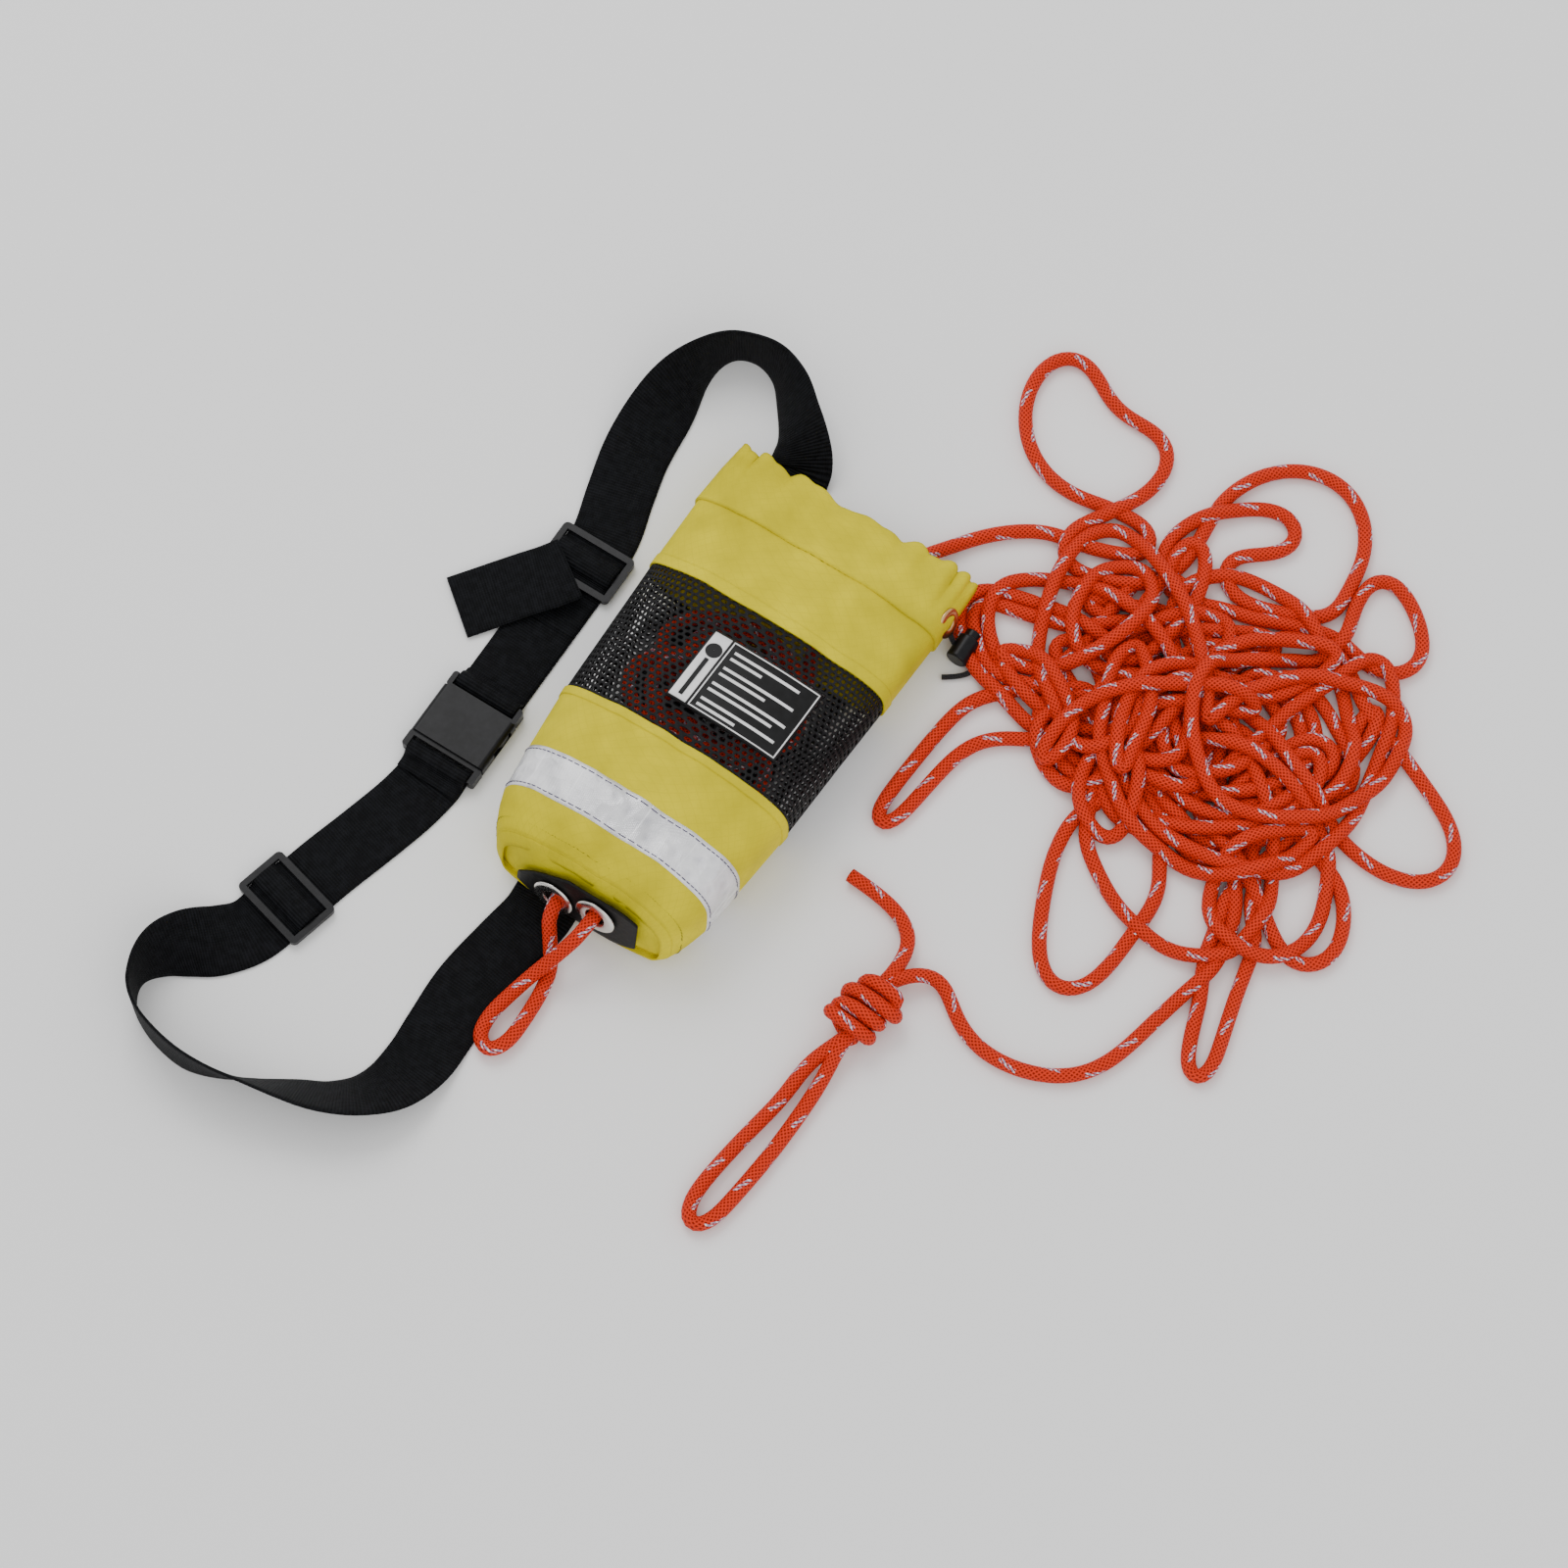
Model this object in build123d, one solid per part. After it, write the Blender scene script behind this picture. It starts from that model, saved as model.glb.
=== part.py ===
from build123d import *
from math import cos, pi, radians, sin, tan
import os

# Throw rope bag, lying on its back on the floor. Millimetres, +Z up, +Y from base to mouth.

# Rope and webbing
ROPE = 8.0
DRAWCORD = 3.0
WEB_WIDTH = 38.0
WEB_THICK = 1.8
LAYER_GAP = 0.3

# Bag: the axis lies at BAG_X; sections give distance from the base, width and thickness
BAG_X = 50.0
BASE_Y = -72.0
CLOTH = 1.0
BASE_SECTION = (6, 112, 60)
TAPE_LOW_SECTION = (26, 125, 66)
TAPE_HIGH_SECTION = (49, 131, 66)
MESH_LOW_SECTION = (92, 139, 62)
MESH_HIGH_SECTION = (182, 147, 48)
HEM_SECTION = (229, 150, 38)
MOUTH_SECTION = (272, 150, 28)
TAPE_THICK = 0.5
LABEL_SIZE = (68.0, 48.0, 0.8)
LABEL_X = 66.0
LABEL_Y = 64.0
FOAM_SIZE = (84.0, 62.0, 8.0)
FOAM_DISTANCE = 70.0
PACK_SIZE = (96.0, 136.0, 20.0)
PACK_DISTANCE = 125.0
PACK_HEIGHT = 22.4
CHANNEL_DEPTH = 8.0

# Eyelets
BASE_EYELETS = ((37.0, 24.0), (63.0, 31.0))
EYELET_BORE = 5.2
EYELET_BARREL = 6.2
EYELET_FLANGE = 12.0
EYELET_RIM = 1.2
PATCH_SIZE = (78.0, 40.0)
PATCH_CORNER = 12.0
PATCH_HEIGHT = 30.0
STOPPER_Y = -60.0
STOPPER_RADIUS = 9.5
STOPPER_LENGTH = 9.0
MOUTH_EYELET = (171.0, 18.3)
MOUTH_BORE = 3.4
MOUTH_BARREL = 4.2
MOUTH_FLANGE = 8.5

# Side-release buckle, its length along Y
BUCKLE_X = -62.0
BUCKLE_THICK = 10.0
SOCKET_WIDTH = 46.0
SOCKET_TOP = -1.0
SOCKET_BODY_END = -32.0
SOCKET_END = -42.0
SOCKET_WALL = 1.8
SOCKET_BAR_Y = -40.0
PLUG_BAR_Y = 6.6
PLUG_END = 8.6
BAR_SLOT = 3.4
BAR_DEPTH = 4.0
ARM_X = 14.5

# Sliders
SLIDER_LENGTH = 30.0
SLIDER_WIDTH = 46.0
SLIDER_THICK = 3.4
SLIDER_BAR = 7.8
SLIDER_SLOT = 7.4
UPPER_SLIDER = (-62.0, 101.0)
LOWER_SLIDER = (-86.0, -147.0)
LOWER_TURN = -14.0

# Cord lock, its length along Y
LOCK_CENTRE = (138.0, 168.0, 6.5)
LOCK_RADIUS = 6.2
LOCK_LENGTH = 15.0
PLUNGER_RADIUS = 4.4

# Belt stations: centre X, centre Y, tilt in degrees (right-hand edge up when positive)
UPPER_LOOP = (
    (5, 206, 0), (4, 213, 14), (-1, 222, 38), (-8, 231, 54), (-21, 244, 64), (-36, 253, 80),
    (-52, 254, 92), (-65, 247, 90), (-73, 229, 70), (-77, 201, 28), (-76, 173, 10),
    (-70, 147, 2), (-62, 120, 0), (-62, 60, 0),
)
PLUG_STRETCH = ((-62, 60, 0), (-62, 11, 0))
LOWER_LOOP = (
    (-62, -44.6, 0), (-62, -52, 0), (-65, -70, 0), (-72, -96, 0), (-79, -120, 0), (-86, -148, 0),
    (-91.5, -170, 0), (-101, -185, 12), (-113, -199, 38), (-121, -212, 64), (-124, -226, 86),
    (-119, -238, 90), (-108, -246, 90), (-93, -251, 90), (-76, -253, 88), (-58, -250, 80), (-38, -243, 68),
    (-18, -235, 55), (-2, -228, 48), (12, -217, 38), (21, -202, 22), (24, -183, 7),
    (23, -162, 0), (22, -135, 0), (26, -105, 0), (29.5, -84, 0), (29.2, -70.5, 0),
)
BACK_STRETCH = ((29, -68.5, 0), (5, 206, 0))
TAIL_ROUTE = ((-69, 86, 6.8), (-78.5, 75, 6.4), (-89, 63.5, 4.0), (-98.5, 52.5, 3.0), (-106.5, 41.5, 1.8))

# Rope routes: hand-placed points of the rope's centre line
BASE_LOOP_ROUTE = (
    (63, -54, 31), (62.6, -84, 30), (56, -99, 20), (49, -113, 11), (44, -128, 6.5),
    (41, -143, 6.2), (43, -156, 6.2), (52, -160, 6), (58, -150, 6), (58, -134, 6),
    (57, -118, 6), (54, -104, 6.5), (46, -93, 12), (38, -82, 22.5), (37, -54, 24),
)
MOUTH_ROUTE = (
    (72, 120, 20), (76, 148, 18), (82, 176, 16), (92, 204, 11), (104, 228, 7),
    (123, 246, 5), (146, 260, 6), (170, 262, 9),
)
HEART_ROUTE = (
    (150, 246, 7), (160, 270, 5), (175, 298, 5), (178, 322, 5), (168, 341, 5), (150, 338, 5),
    (133, 332, 5), (114, 348, 5), (97, 360, 5), (83, 350, 5), (80, 328, 5), (88, 306, 5),
    (102, 288, 5), (124, 277, 8), (150, 279, 14), (174, 287, 13), (194, 286, 7), (201, 270, 6),
    (190, 254, 7),
)
UPPER_RIGHT_ROUTE = (
    (203, 256, 6), (211, 284, 5), (208, 310, 5), (210, 336, 5), (224, 357, 5), (246, 369, 5),
    (268, 367, 5), (286, 352, 5), (296, 328, 5), (299, 302, 6), (292, 280, 7),
)
INNER_ROUTE = (
    (190, 272, 12), (199, 294, 13), (212, 318, 13.5), (230, 333, 8), (248, 337, 5),
    (260, 327, 5), (258, 311, 5), (240, 300, 7), (222, 282, 9),
)
RIGHT_ROUTE = (
    (318, 270, 6), (301, 298, 12), (296, 322, 12), (306, 336, 6), (324, 328, 5), (343, 313, 5),
    (354, 297, 5), (351, 283, 5), (336, 277, 6), (318, 258, 8),
)
LOWER_RIGHT_ROUTE = (
    (378, 238, 7), (401, 231, 5), (419, 220, 5), (427, 204, 5), (422, 188, 5), (402, 180, 5),
    (382, 178, 7),
)
CORNER_ROUTE = (
    (378, 168, 7), (392, 146, 5), (399, 126, 5), (392, 110, 5), (374, 108, 6), (350, 122, 7),
)
LOW_LEFT_ROUTE = (
    (234, 108, 7), (244, 84, 5), (254, 60, 5), (264, 38, 5), (282, 24, 5), (297, 36, 5),
    (300, 62, 5), (300, 86, 6), (304, 116, 7),
)
BIGHT_ROUTE = (
    (330, 122, 7), (336, 95, 5), (348, 67, 5), (357, 40, 5), (365, 21, 5), (376, 22, 5),
    (374, 40, 5), (366, 66, 5), (360, 92, 6), (360, 118, 7),
)
KNOT_RUN_ROUTE = (
    (345, 118, 16), (348, 92, 16), (340, 66, 7), (333, 42, 5), (331, 18, 5), (322, -4, 5),
    (302, -16, 5), (276, -22, 5), (254, -20, 5), (239, -5, 5), (226, 8, 6), (215, -4, 9),
    (211, -20, 10),
)
HAND_LOOP_ROUTE = (
    (200, -44, 9), (196, -70, 5), (195, -97, 5), (190, -122, 5), (186, -148, 5), (184, -171, 5),
    (191, -184, 5), (200, -176, 5), (203, -154, 5), (206, -128, 5), (207, -101, 5),
    (209, -74, 5), (207, -46, 9),
)
TAIL_END_ROUTE = ((205, -22, 10), (206, -3, 7), (203, 15, 5), (184, 25, 5), (157, 26, 5))
DRAWCORD_ROUTE = (
    (108, 171, 18.3), (127, 171, 17.8), (130.5, 168.6, 9), (134, 168, 6.8), (143, 168, 6.4),
    (148, 166, 4.5), (148, 160, 2.5), (142, 154, 1.8), (136, 150, 1.8),
)

# Heap of loose loops: outline at the floor, then the height and size of each layer above it
HEAP_OUTLINE = (
    (152, 160), (152, 190), (151, 220), (162, 251), (190, 270), (230, 280), (272, 286), (310, 276),
    (350, 258), (384, 240), (394, 205), (390, 170), (376, 138), (344, 112), (300, 104),
    (256, 92), (212, 82), (168, 88), (147, 106), (140, 135),
)
HEAP_CENTRE = (268, 185)
HEAP_LAYERS = ((0, 1.0), (14, 0.98), (34, 0.72))
KNOT_START = (212, -14, 11)
KNOT_LENGTH = 48.0
KNOT_RADIUS = 10.8
KNOT_HEADING = 242.0


def section_plane(distance, width, thick, inset=0.0):
    """A flat-backed round-sided bag section, standing across the bag's length."""
    plane = Plane(
        origin=(BAG_X, BASE_Y + distance, WEB_THICK + thick / 2), x_dir=(1, 0, 0), z_dir=(0, 1, 0)
    )
    side = min(thick * 0.49, 24.0) - inset
    return plane * RectangleRounded(width - 2 * inset, thick - 2 * inset, side)


def bag_shell(low, high, outside=0.0, thickness=CLOTH):
    """One sewn panel: a tube of cloth between two sections."""
    outer = loft([section_plane(*low, -outside), section_plane(*high, -outside)], ruled=True)
    inset = thickness - outside
    inner = loft([section_plane(*low, inset), section_plane(*high, inset)], ruled=True)
    return outer - inner


def between(low, high, distance):
    """Section at a distance between two others, on the straight wall that joins them."""
    share = (distance - low[0]) / (high[0] - low[0])
    return tuple(a + (b - a) * share for a, b in zip(low, high))


def across_cylinder(x, y, z, radius, length):
    """A cylinder along Y, centred on a point."""
    return Pos(x, y, z) * Rot(90, 0, 0) * Cylinder(radius, length)


def ring(outer, inner, thick):
    return Cylinder(outer, thick) - Cylinder(inner, thick + 1)


def ribbon(stations, width=WEB_WIDTH, thick=WEB_THICK):
    """Webbing through stations (x, y, tilt), its lower edge on the floor."""
    centres = [Vector(x, y, 0) for x, y, tilt in stations]
    faces = []
    for i, (x, y, tilt) in enumerate(stations):
        before = centres[max(i - 1, 0)]
        after = centres[min(i + 1, len(centres) - 1)]
        heading = (after - before).normalized()
        right = Vector(heading.Y, -heading.X, 0)
        angle = radians(tilt)
        across = right * cos(angle) + Vector(0, 0, sin(angle))
        height = width / 2 * abs(sin(angle)) + thick / 2 * cos(angle)
        plane = Plane(origin=(x, y, height), x_dir=across, z_dir=heading)
        faces.append(plane * Rectangle(width, thick))
    return loft(faces, ruled=True)


def level_ribbon(points, width, thick):
    """Webbing through points (x, y, z), flat across its width."""
    faces = []
    for i, point in enumerate(points):
        before = Vector(points[max(i - 1, 0)])
        after = Vector(points[min(i + 1, len(points) - 1)])
        heading = (after - before).normalized()
        right = Vector(heading.Y, -heading.X, 0).normalized()
        faces.append(Plane(origin=point, x_dir=right, z_dir=heading) * Rectangle(width, thick))
    return loft(faces, ruled=True)


def rope_tube(name, route, diameter=ROPE):
    """Straight runs joined by tangent arcs as large as their runs allow."""
    points = [Vector(point) for point in route]
    radii = []
    for i in range(1, len(points) - 1):
        before = points[i] - points[i - 1]
        after = points[i + 1] - points[i]
        half_turn = radians(before.get_angle(after)) / 2
        radii.append(0.45 * min(before.length, after.length) / tan(half_turn))
    path = FilletPolyline(*points, radius=radii)
    section = Plane(origin=path @ 0, z_dir=path % 0) * Circle(diameter / 2)
    tube = sweep(section, path=path)
    expected = pi * diameter**2 / 4 * path.length
    print(f"{name}: length {path.length:.0f}, radii {[round(r) for r in radii]},"
          f" volume ratio {tube.volume / expected:.4f}")
    return tube


def bag_panels():
    lower = bag_shell(BASE_SECTION, TAPE_LOW_SECTION)
    lower += bag_shell(TAPE_LOW_SECTION, TAPE_HIGH_SECTION)
    lower += bag_shell(TAPE_HIGH_SECTION, MESH_LOW_SECTION)
    tape = bag_shell(TAPE_LOW_SECTION, TAPE_HIGH_SECTION, TAPE_THICK, TAPE_THICK)
    below = Pos(BAG_X, BASE_Y + 40, WEB_THICK / 2) * Box(200, 60, WEB_THICK)
    hem = bag_shell(HEM_SECTION, MOUTH_SECTION)
    hem -= Pos(BAG_X + 75, *MOUTH_EYELET) * Rot(0, 90, 0) * Cylinder(MOUTH_BARREL, 12)
    return {
        "lower_panel": lower,
        "reflective_tape": tape - below,
        "mesh_panel": bag_shell(MESH_LOW_SECTION, MESH_HIGH_SECTION),
        "upper_panel": bag_shell(MESH_HIGH_SECTION, HEM_SECTION),
        "mouth_hem": hem,
    }


def bag_base():
    """Base disc, its patch and the two eyelets that hold the carrying loop."""
    disc_low = (BASE_SECTION[0] - CLOTH, *BASE_SECTION[1:])
    disc = loft([section_plane(*disc_low), section_plane(*BASE_SECTION)], ruled=True)
    patch_y = BASE_Y + disc_low[0] - CLOTH / 2
    outline = RectangleRounded(*PATCH_SIZE, PATCH_CORNER)
    patch = Pos(BAG_X, patch_y, PATCH_HEIGHT) * Rot(90, 0, 0) * extrude(outline, CLOTH / 2, both=True)
    outside = patch_y - CLOTH / 2
    inside = BASE_Y + BASE_SECTION[0]
    barrel_length = inside + EYELET_RIM - outside
    parts = {}
    for index, (x, z) in enumerate(BASE_EYELETS, start=1):
        hole = across_cylinder(x, patch_y, z, EYELET_BARREL, 20)
        disc -= hole
        patch -= hole
        flange = Pos(x, outside - EYELET_RIM / 2, z) * Rot(90, 0, 0)
        flange *= ring(EYELET_FLANGE, EYELET_BORE, EYELET_RIM)
        barrel = Pos(x, outside + barrel_length / 2, z) * Rot(90, 0, 0)
        barrel *= ring(EYELET_BARREL, EYELET_BORE, barrel_length)
        washer = Pos(x, inside + EYELET_RIM / 2, z) * Rot(90, 0, 0)
        washer *= ring(EYELET_FLANGE - 1, EYELET_BARREL, EYELET_RIM)
        parts[f"base_eyelet_{index}"] = flange + barrel
        parts[f"base_eyelet_washer_{index}"] = washer
    parts["base_panel"] = disc
    parts["base_patch"] = patch
    return parts


def mouth_eyelet():
    """Eyelet in the side of the hem, where the drawcord comes out."""
    side = BAG_X + MOUTH_SECTION[1] / 2
    place = Pos(side, *MOUTH_EYELET) * Rot(0, 90, 0)
    flange = Pos(0, 0, EYELET_RIM / 2) * ring(MOUTH_FLANGE, MOUTH_BORE, EYELET_RIM)
    barrel = Pos(0, 0, -1) * ring(MOUTH_BARREL, MOUTH_BORE, 2 * CLOTH + 2.0)
    washer = Pos(0, 0, -CLOTH - 1.6) * ring(MOUTH_FLANGE - 3, MOUTH_BARREL, 0.8)
    return {"mouth_eyelet": place * (flange + barrel), "mouth_eyelet_washer": place * washer}


def safety_label():
    behind = between(MESH_LOW_SECTION, MESH_HIGH_SECTION, LABEL_Y - BASE_Y)
    drop = MESH_LOW_SECTION[2] - MESH_HIGH_SECTION[2]
    height = WEB_THICK + behind[2]
    slope = drop / (MESH_HIGH_SECTION[0] - MESH_LOW_SECTION[0]) * 180 / pi
    place = Pos(LABEL_X, LABEL_Y, height) * Rot(-slope, 0, 0)
    return place * Pos(0, 0, LABEL_SIZE[2] / 2 + 0.05) * Box(*LABEL_SIZE)


def bag_contents():
    """Float foam against the back wall, and the rope still packed above it."""
    foam_height = WEB_THICK + CLOTH + LAYER_GAP + FOAM_SIZE[2] / 2
    foam = Pos(BAG_X, BASE_Y + FOAM_DISTANCE, foam_height) * Box(*FOAM_SIZE)
    foam = fillet(foam.edges().filter_by(Axis.Z), 8)
    pack = Pos(BAG_X, BASE_Y + PACK_DISTANCE, PACK_HEIGHT) * Box(*PACK_SIZE)
    pack = fillet(pack.edges().filter_by(Axis.Z), 20)
    pack = fillet(pack.edges().group_by(Axis.Z)[-1], 6)
    knots = [across_cylinder(x, STOPPER_Y, z, STOPPER_RADIUS, STOPPER_LENGTH) for x, z in BASE_EYELETS]
    return {"float_foam": foam, "packed_rope": pack, "loop_stopper_knots": Compound(children=knots)}


def drawcord_ring():
    """The drawcord in its channel, round the inside of the mouth."""
    channel = between(HEM_SECTION, MOUTH_SECTION, MOUTH_SECTION[0] - CHANNEL_DEPTH)
    inset = CLOTH + DRAWCORD / 2 + 2 * LAYER_GAP
    section = section_plane(*channel, inset)
    path = section.face().outer_wire()
    circle = Plane(origin=path @ 0, z_dir=path % 0) * Circle(DRAWCORD / 2)
    return sweep(circle, path=path)


def cord_lock():
    """Spring cord lock: the plunger's hole lines up with the body's when it is pressed in."""
    x, y, z = LOCK_CENTRE
    body = across_cylinder(x, y, z, LOCK_RADIUS, LOCK_LENGTH)
    body = fillet(body.edges(), 1.2)
    bore_bottom = y - LOCK_LENGTH / 2 + 1.6
    body -= across_cylinder(x, bore_bottom + LOCK_LENGTH / 2, z, PLUNGER_RADIUS + 0.05, LOCK_LENGTH)
    cord_hole = Pos(x, y, z) * Rot(0, 90, 0) * Cylinder(DRAWCORD / 2 + 0.7, 30)
    body -= cord_hole
    spring_length = 3.2
    plunger_bottom = bore_bottom + spring_length
    plunger_top = y + LOCK_LENGTH / 2 + 4.5
    length = plunger_top - plunger_bottom
    plunger = across_cylinder(x, plunger_bottom + length / 2, z, PLUNGER_RADIUS, length)
    plunger = fillet(plunger.edges().group_by(Axis.Y)[-1], 1.0)
    slot = Pos(x, y + 1.2, z) * Box(30, DRAWCORD + 3.6, DRAWCORD + 1.6)
    plunger -= slot
    coil = Helix(pitch=1.0, height=spring_length - 0.7, radius=2.6)
    wire = Plane(origin=coil @ 0, z_dir=coil % 0) * Circle(0.25)
    spring_place = Pos(x, bore_bottom + spring_length - 0.35, z) * Rot(90, 0, 0)
    spring = spring_place * sweep(wire, path=coil, is_frenet=True)
    return {"cord_lock_body": body, "cord_lock_plunger": plunger, "cord_lock_spring": spring}


def bar_wrap(bar_y, middle_z):
    """Webbing folded round a buckle bar and closed into the belt."""
    inner = BAR_DEPTH + 2 * LAYER_GAP
    outer = Box(WEB_WIDTH, inner + 2 * WEB_THICK, inner + 2 * WEB_THICK)
    outer = fillet(outer.edges().filter_by(Axis.X), 1.6)
    return Pos(BUCKLE_X, bar_y, middle_z) * (outer - Box(WEB_WIDTH + 1, inner, inner))


def bar_relief(bar_y, slot_side, middle_z):
    """What is cut away to leave a slot and a thin bar for the webbing to go round."""
    slot_y = bar_y + slot_side * (BAR_DEPTH + BAR_SLOT) / 2
    slot = Pos(BUCKLE_X, slot_y, middle_z) * Box(WEB_WIDTH + 1, BAR_SLOT, 2 * BUCKLE_THICK)
    around = Box(WEB_WIDTH + 1, BAR_DEPTH + 0.2, 2 * BUCKLE_THICK)
    around -= Box(WEB_WIDTH + 2, BAR_DEPTH + 1, BAR_DEPTH)
    return slot + Pos(BUCKLE_X, bar_y, middle_z) * around


def buckle_socket():
    """Hollow socket with side windows for the latch arms and a slotted end for the belt."""
    length = SOCKET_TOP - SOCKET_BODY_END
    middle = (SOCKET_TOP + SOCKET_BODY_END) / 2
    half = BUCKLE_THICK / 2
    body = Pos(BUCKLE_X, middle, half) * Box(SOCKET_WIDTH, length, BUCKLE_THICK)
    body = fillet(body.edges().filter_by(Axis.Y), 3.0)
    cavity = Box(SOCKET_WIDTH - 2 * 3.4, length, BUCKLE_THICK - 2 * SOCKET_WALL)
    body -= Pos(BUCKLE_X, middle + 3, half) * cavity
    body -= Pos(BUCKLE_X, SOCKET_TOP - 12, half) * Box(SOCKET_WIDTH + 2, 16, BUCKLE_THICK - 2 * SOCKET_WALL)
    end_length = SOCKET_BODY_END - SOCKET_END
    frame = Pos(BUCKLE_X, SOCKET_BODY_END - end_length / 2, half) * Box(SOCKET_WIDTH, end_length, 6.4)
    frame = fillet(frame.edges().filter_by(Axis.Z), 1.5)
    return body + (frame - bar_relief(SOCKET_BAR_Y, 1, half))


def buckle_plug():
    """Plug frame, centre tongue and the two latch arms."""
    half = BUCKLE_THICK / 2
    front = SOCKET_TOP + 0.2
    length = PLUG_END - front
    frame = Pos(BUCKLE_X, front + length / 2, half) * Box(SOCKET_WIDTH - 1, length, 7.0)
    frame = fillet(frame.edges().filter_by(Axis.Z), 2.0)
    frame -= bar_relief(PLUG_BAR_Y, -1, half)
    tongue = Pos(BUCKLE_X, front - 12, half) * Box(9, 24, 4.4)
    tongue = fillet(tongue.edges().group_by(Axis.Y)[0], 1.0)
    return frame + tongue


def latch_arm(side):
    """Springing arm with a hook that bulges out of the socket's window."""
    outline = Polyline(
        (0, -0.1), (4.2, -0.1), (4.6, -4.5), (8.2, -5.4), (8.6, -12.0), (5.0, -19.5),
        (2.2, -21.5), (0.4, -20.5), (1.6, -12.0), (0, -0.1), close=True,
    )
    arm = extrude(make_face(outline), 4.4)
    arm = fillet(arm.edges().filter_by(Axis.Z), 0.5)
    if side < 0:
        arm = mirror(arm, Plane.YZ)
    front = SOCKET_TOP + 0.1
    return Pos(BUCKLE_X + side * (ARM_X - 0.5), front, BUCKLE_THICK / 2 - 2.2) * arm


def slider(centre, turn):
    """Tri-glide: a frame with a centre bar, and the webbing turn over that bar."""
    base_z = WEB_THICK + LAYER_GAP
    frame = Box(SLIDER_WIDTH, SLIDER_LENGTH, SLIDER_THICK)
    frame = fillet(frame.edges().filter_by(Axis.Z), 3.0)
    slot = Box(WEB_WIDTH + 1, SLIDER_SLOT, 2 * SLIDER_THICK)
    offset = (SLIDER_BAR + SLIDER_SLOT) / 2
    frame = frame - Pos(0, offset, 0) * slot - Pos(0, -offset, 0) * slot
    rise = SLIDER_THICK + LAYER_GAP + WEB_THICK
    outer = Pos(0, 0, rise / 2) * Box(WEB_WIDTH, SLIDER_BAR + 2 * WEB_THICK, rise)
    outer = fillet(outer.edges().group_by(Axis.Z)[-1].filter_by(Axis.X), 1.5)
    hollow = Pos(0, 0, rise / 2 - WEB_THICK) * Box(WEB_WIDTH + 1, SLIDER_BAR + 0.2, rise)
    place = Pos(centre[0], centre[1], 0) * Rot(0, 0, turn)
    return (
        place * Pos(0, 0, base_z + SLIDER_THICK / 2) * frame,
        place * Pos(0, 0, base_z) * (outer - hollow),
    )


def rope_heap():
    layers = []
    for height, size in HEAP_LAYERS:
        outline = [
            (HEAP_CENTRE[0] + (x - HEAP_CENTRE[0]) * size, HEAP_CENTRE[1] + (y - HEAP_CENTRE[1]) * size)
            for x, y in HEAP_OUTLINE
        ]
        layers.append(Pos(0, 0, height) * make_face(Polyline(*outline, close=True)))
    return loft(layers, ruled=True)


def rope_knot():
    along = Rot(0, 0, KNOT_HEADING) * Rot(0, 90, 0)
    knot = Cylinder(KNOT_RADIUS, KNOT_LENGTH)
    knot = fillet(knot.edges(), 7)
    return Pos(*KNOT_START) * along * Pos(0, 0, KNOT_LENGTH / 2) * knot


def belt():
    lock_z = BUCKLE_THICK / 2
    upper, upper_turn = slider(UPPER_SLIDER, 0)
    lower, lower_turn = slider(LOWER_SLIDER, LOWER_TURN)
    return {
        "belt_back": ribbon(BACK_STRETCH),
        "belt_upper_loop": ribbon(UPPER_LOOP),
        "belt_plug_stretch": ribbon(PLUG_STRETCH),
        "belt_lower_loop": ribbon(LOWER_LOOP),
        "belt_tail": level_ribbon(TAIL_ROUTE, WEB_WIDTH, WEB_THICK),
        "belt_plug_wrap": bar_wrap(PLUG_BAR_Y, lock_z),
        "belt_socket_wrap": bar_wrap(SOCKET_BAR_Y, lock_z),
        "slider_upper": upper,
        "slider_upper_turn": upper_turn,
        "slider_lower": lower,
        "slider_lower_turn": lower_turn,
        "buckle_socket": buckle_socket(),
        "buckle_plug": buckle_plug(),
        "latch_arm_left": latch_arm(-1),
        "latch_arm_right": latch_arm(1),
    }


def ropes():
    routes = {
        "base_loop": BASE_LOOP_ROUTE,
        "rope_mouth_run": MOUTH_ROUTE,
        "rope_heart_loop": HEART_ROUTE,
        "rope_upper_right_loop": UPPER_RIGHT_ROUTE,
        "rope_inner_loop": INNER_ROUTE,
        "rope_right_loop": RIGHT_ROUTE,
        "rope_lower_right_loop": LOWER_RIGHT_ROUTE,
        "rope_corner_loop": CORNER_ROUTE,
        "rope_low_left_loop": LOW_LEFT_ROUTE,
        "rope_bight": BIGHT_ROUTE,
        "rope_knot_run": KNOT_RUN_ROUTE,
        "rope_hand_loop": HAND_LOOP_ROUTE,
        "rope_tail": TAIL_END_ROUTE,
    }
    parts = {name: rope_tube(name, route) for name, route in routes.items()}
    parts["drawcord_end"] = rope_tube("drawcord_end", DRAWCORD_ROUTE, DRAWCORD)
    parts["rope_heap"] = rope_heap()
    parts["rope_knot"] = rope_knot()
    return parts


parts = {}
parts.update(bag_panels())
parts.update(bag_base())
parts.update(mouth_eyelet())
parts["safety_label"] = safety_label()
parts.update(bag_contents())
parts["drawcord_channel_run"] = drawcord_ring()
parts.update(cord_lock())
parts.update(belt())
parts.update(ropes())

os.makedirs("parts", exist_ok=True)
for name, shape in parts.items():
    export_step(shape, f"parts/{name}.step")
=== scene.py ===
import math

import bpy
import numpy as np
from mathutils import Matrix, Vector, noise


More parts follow.
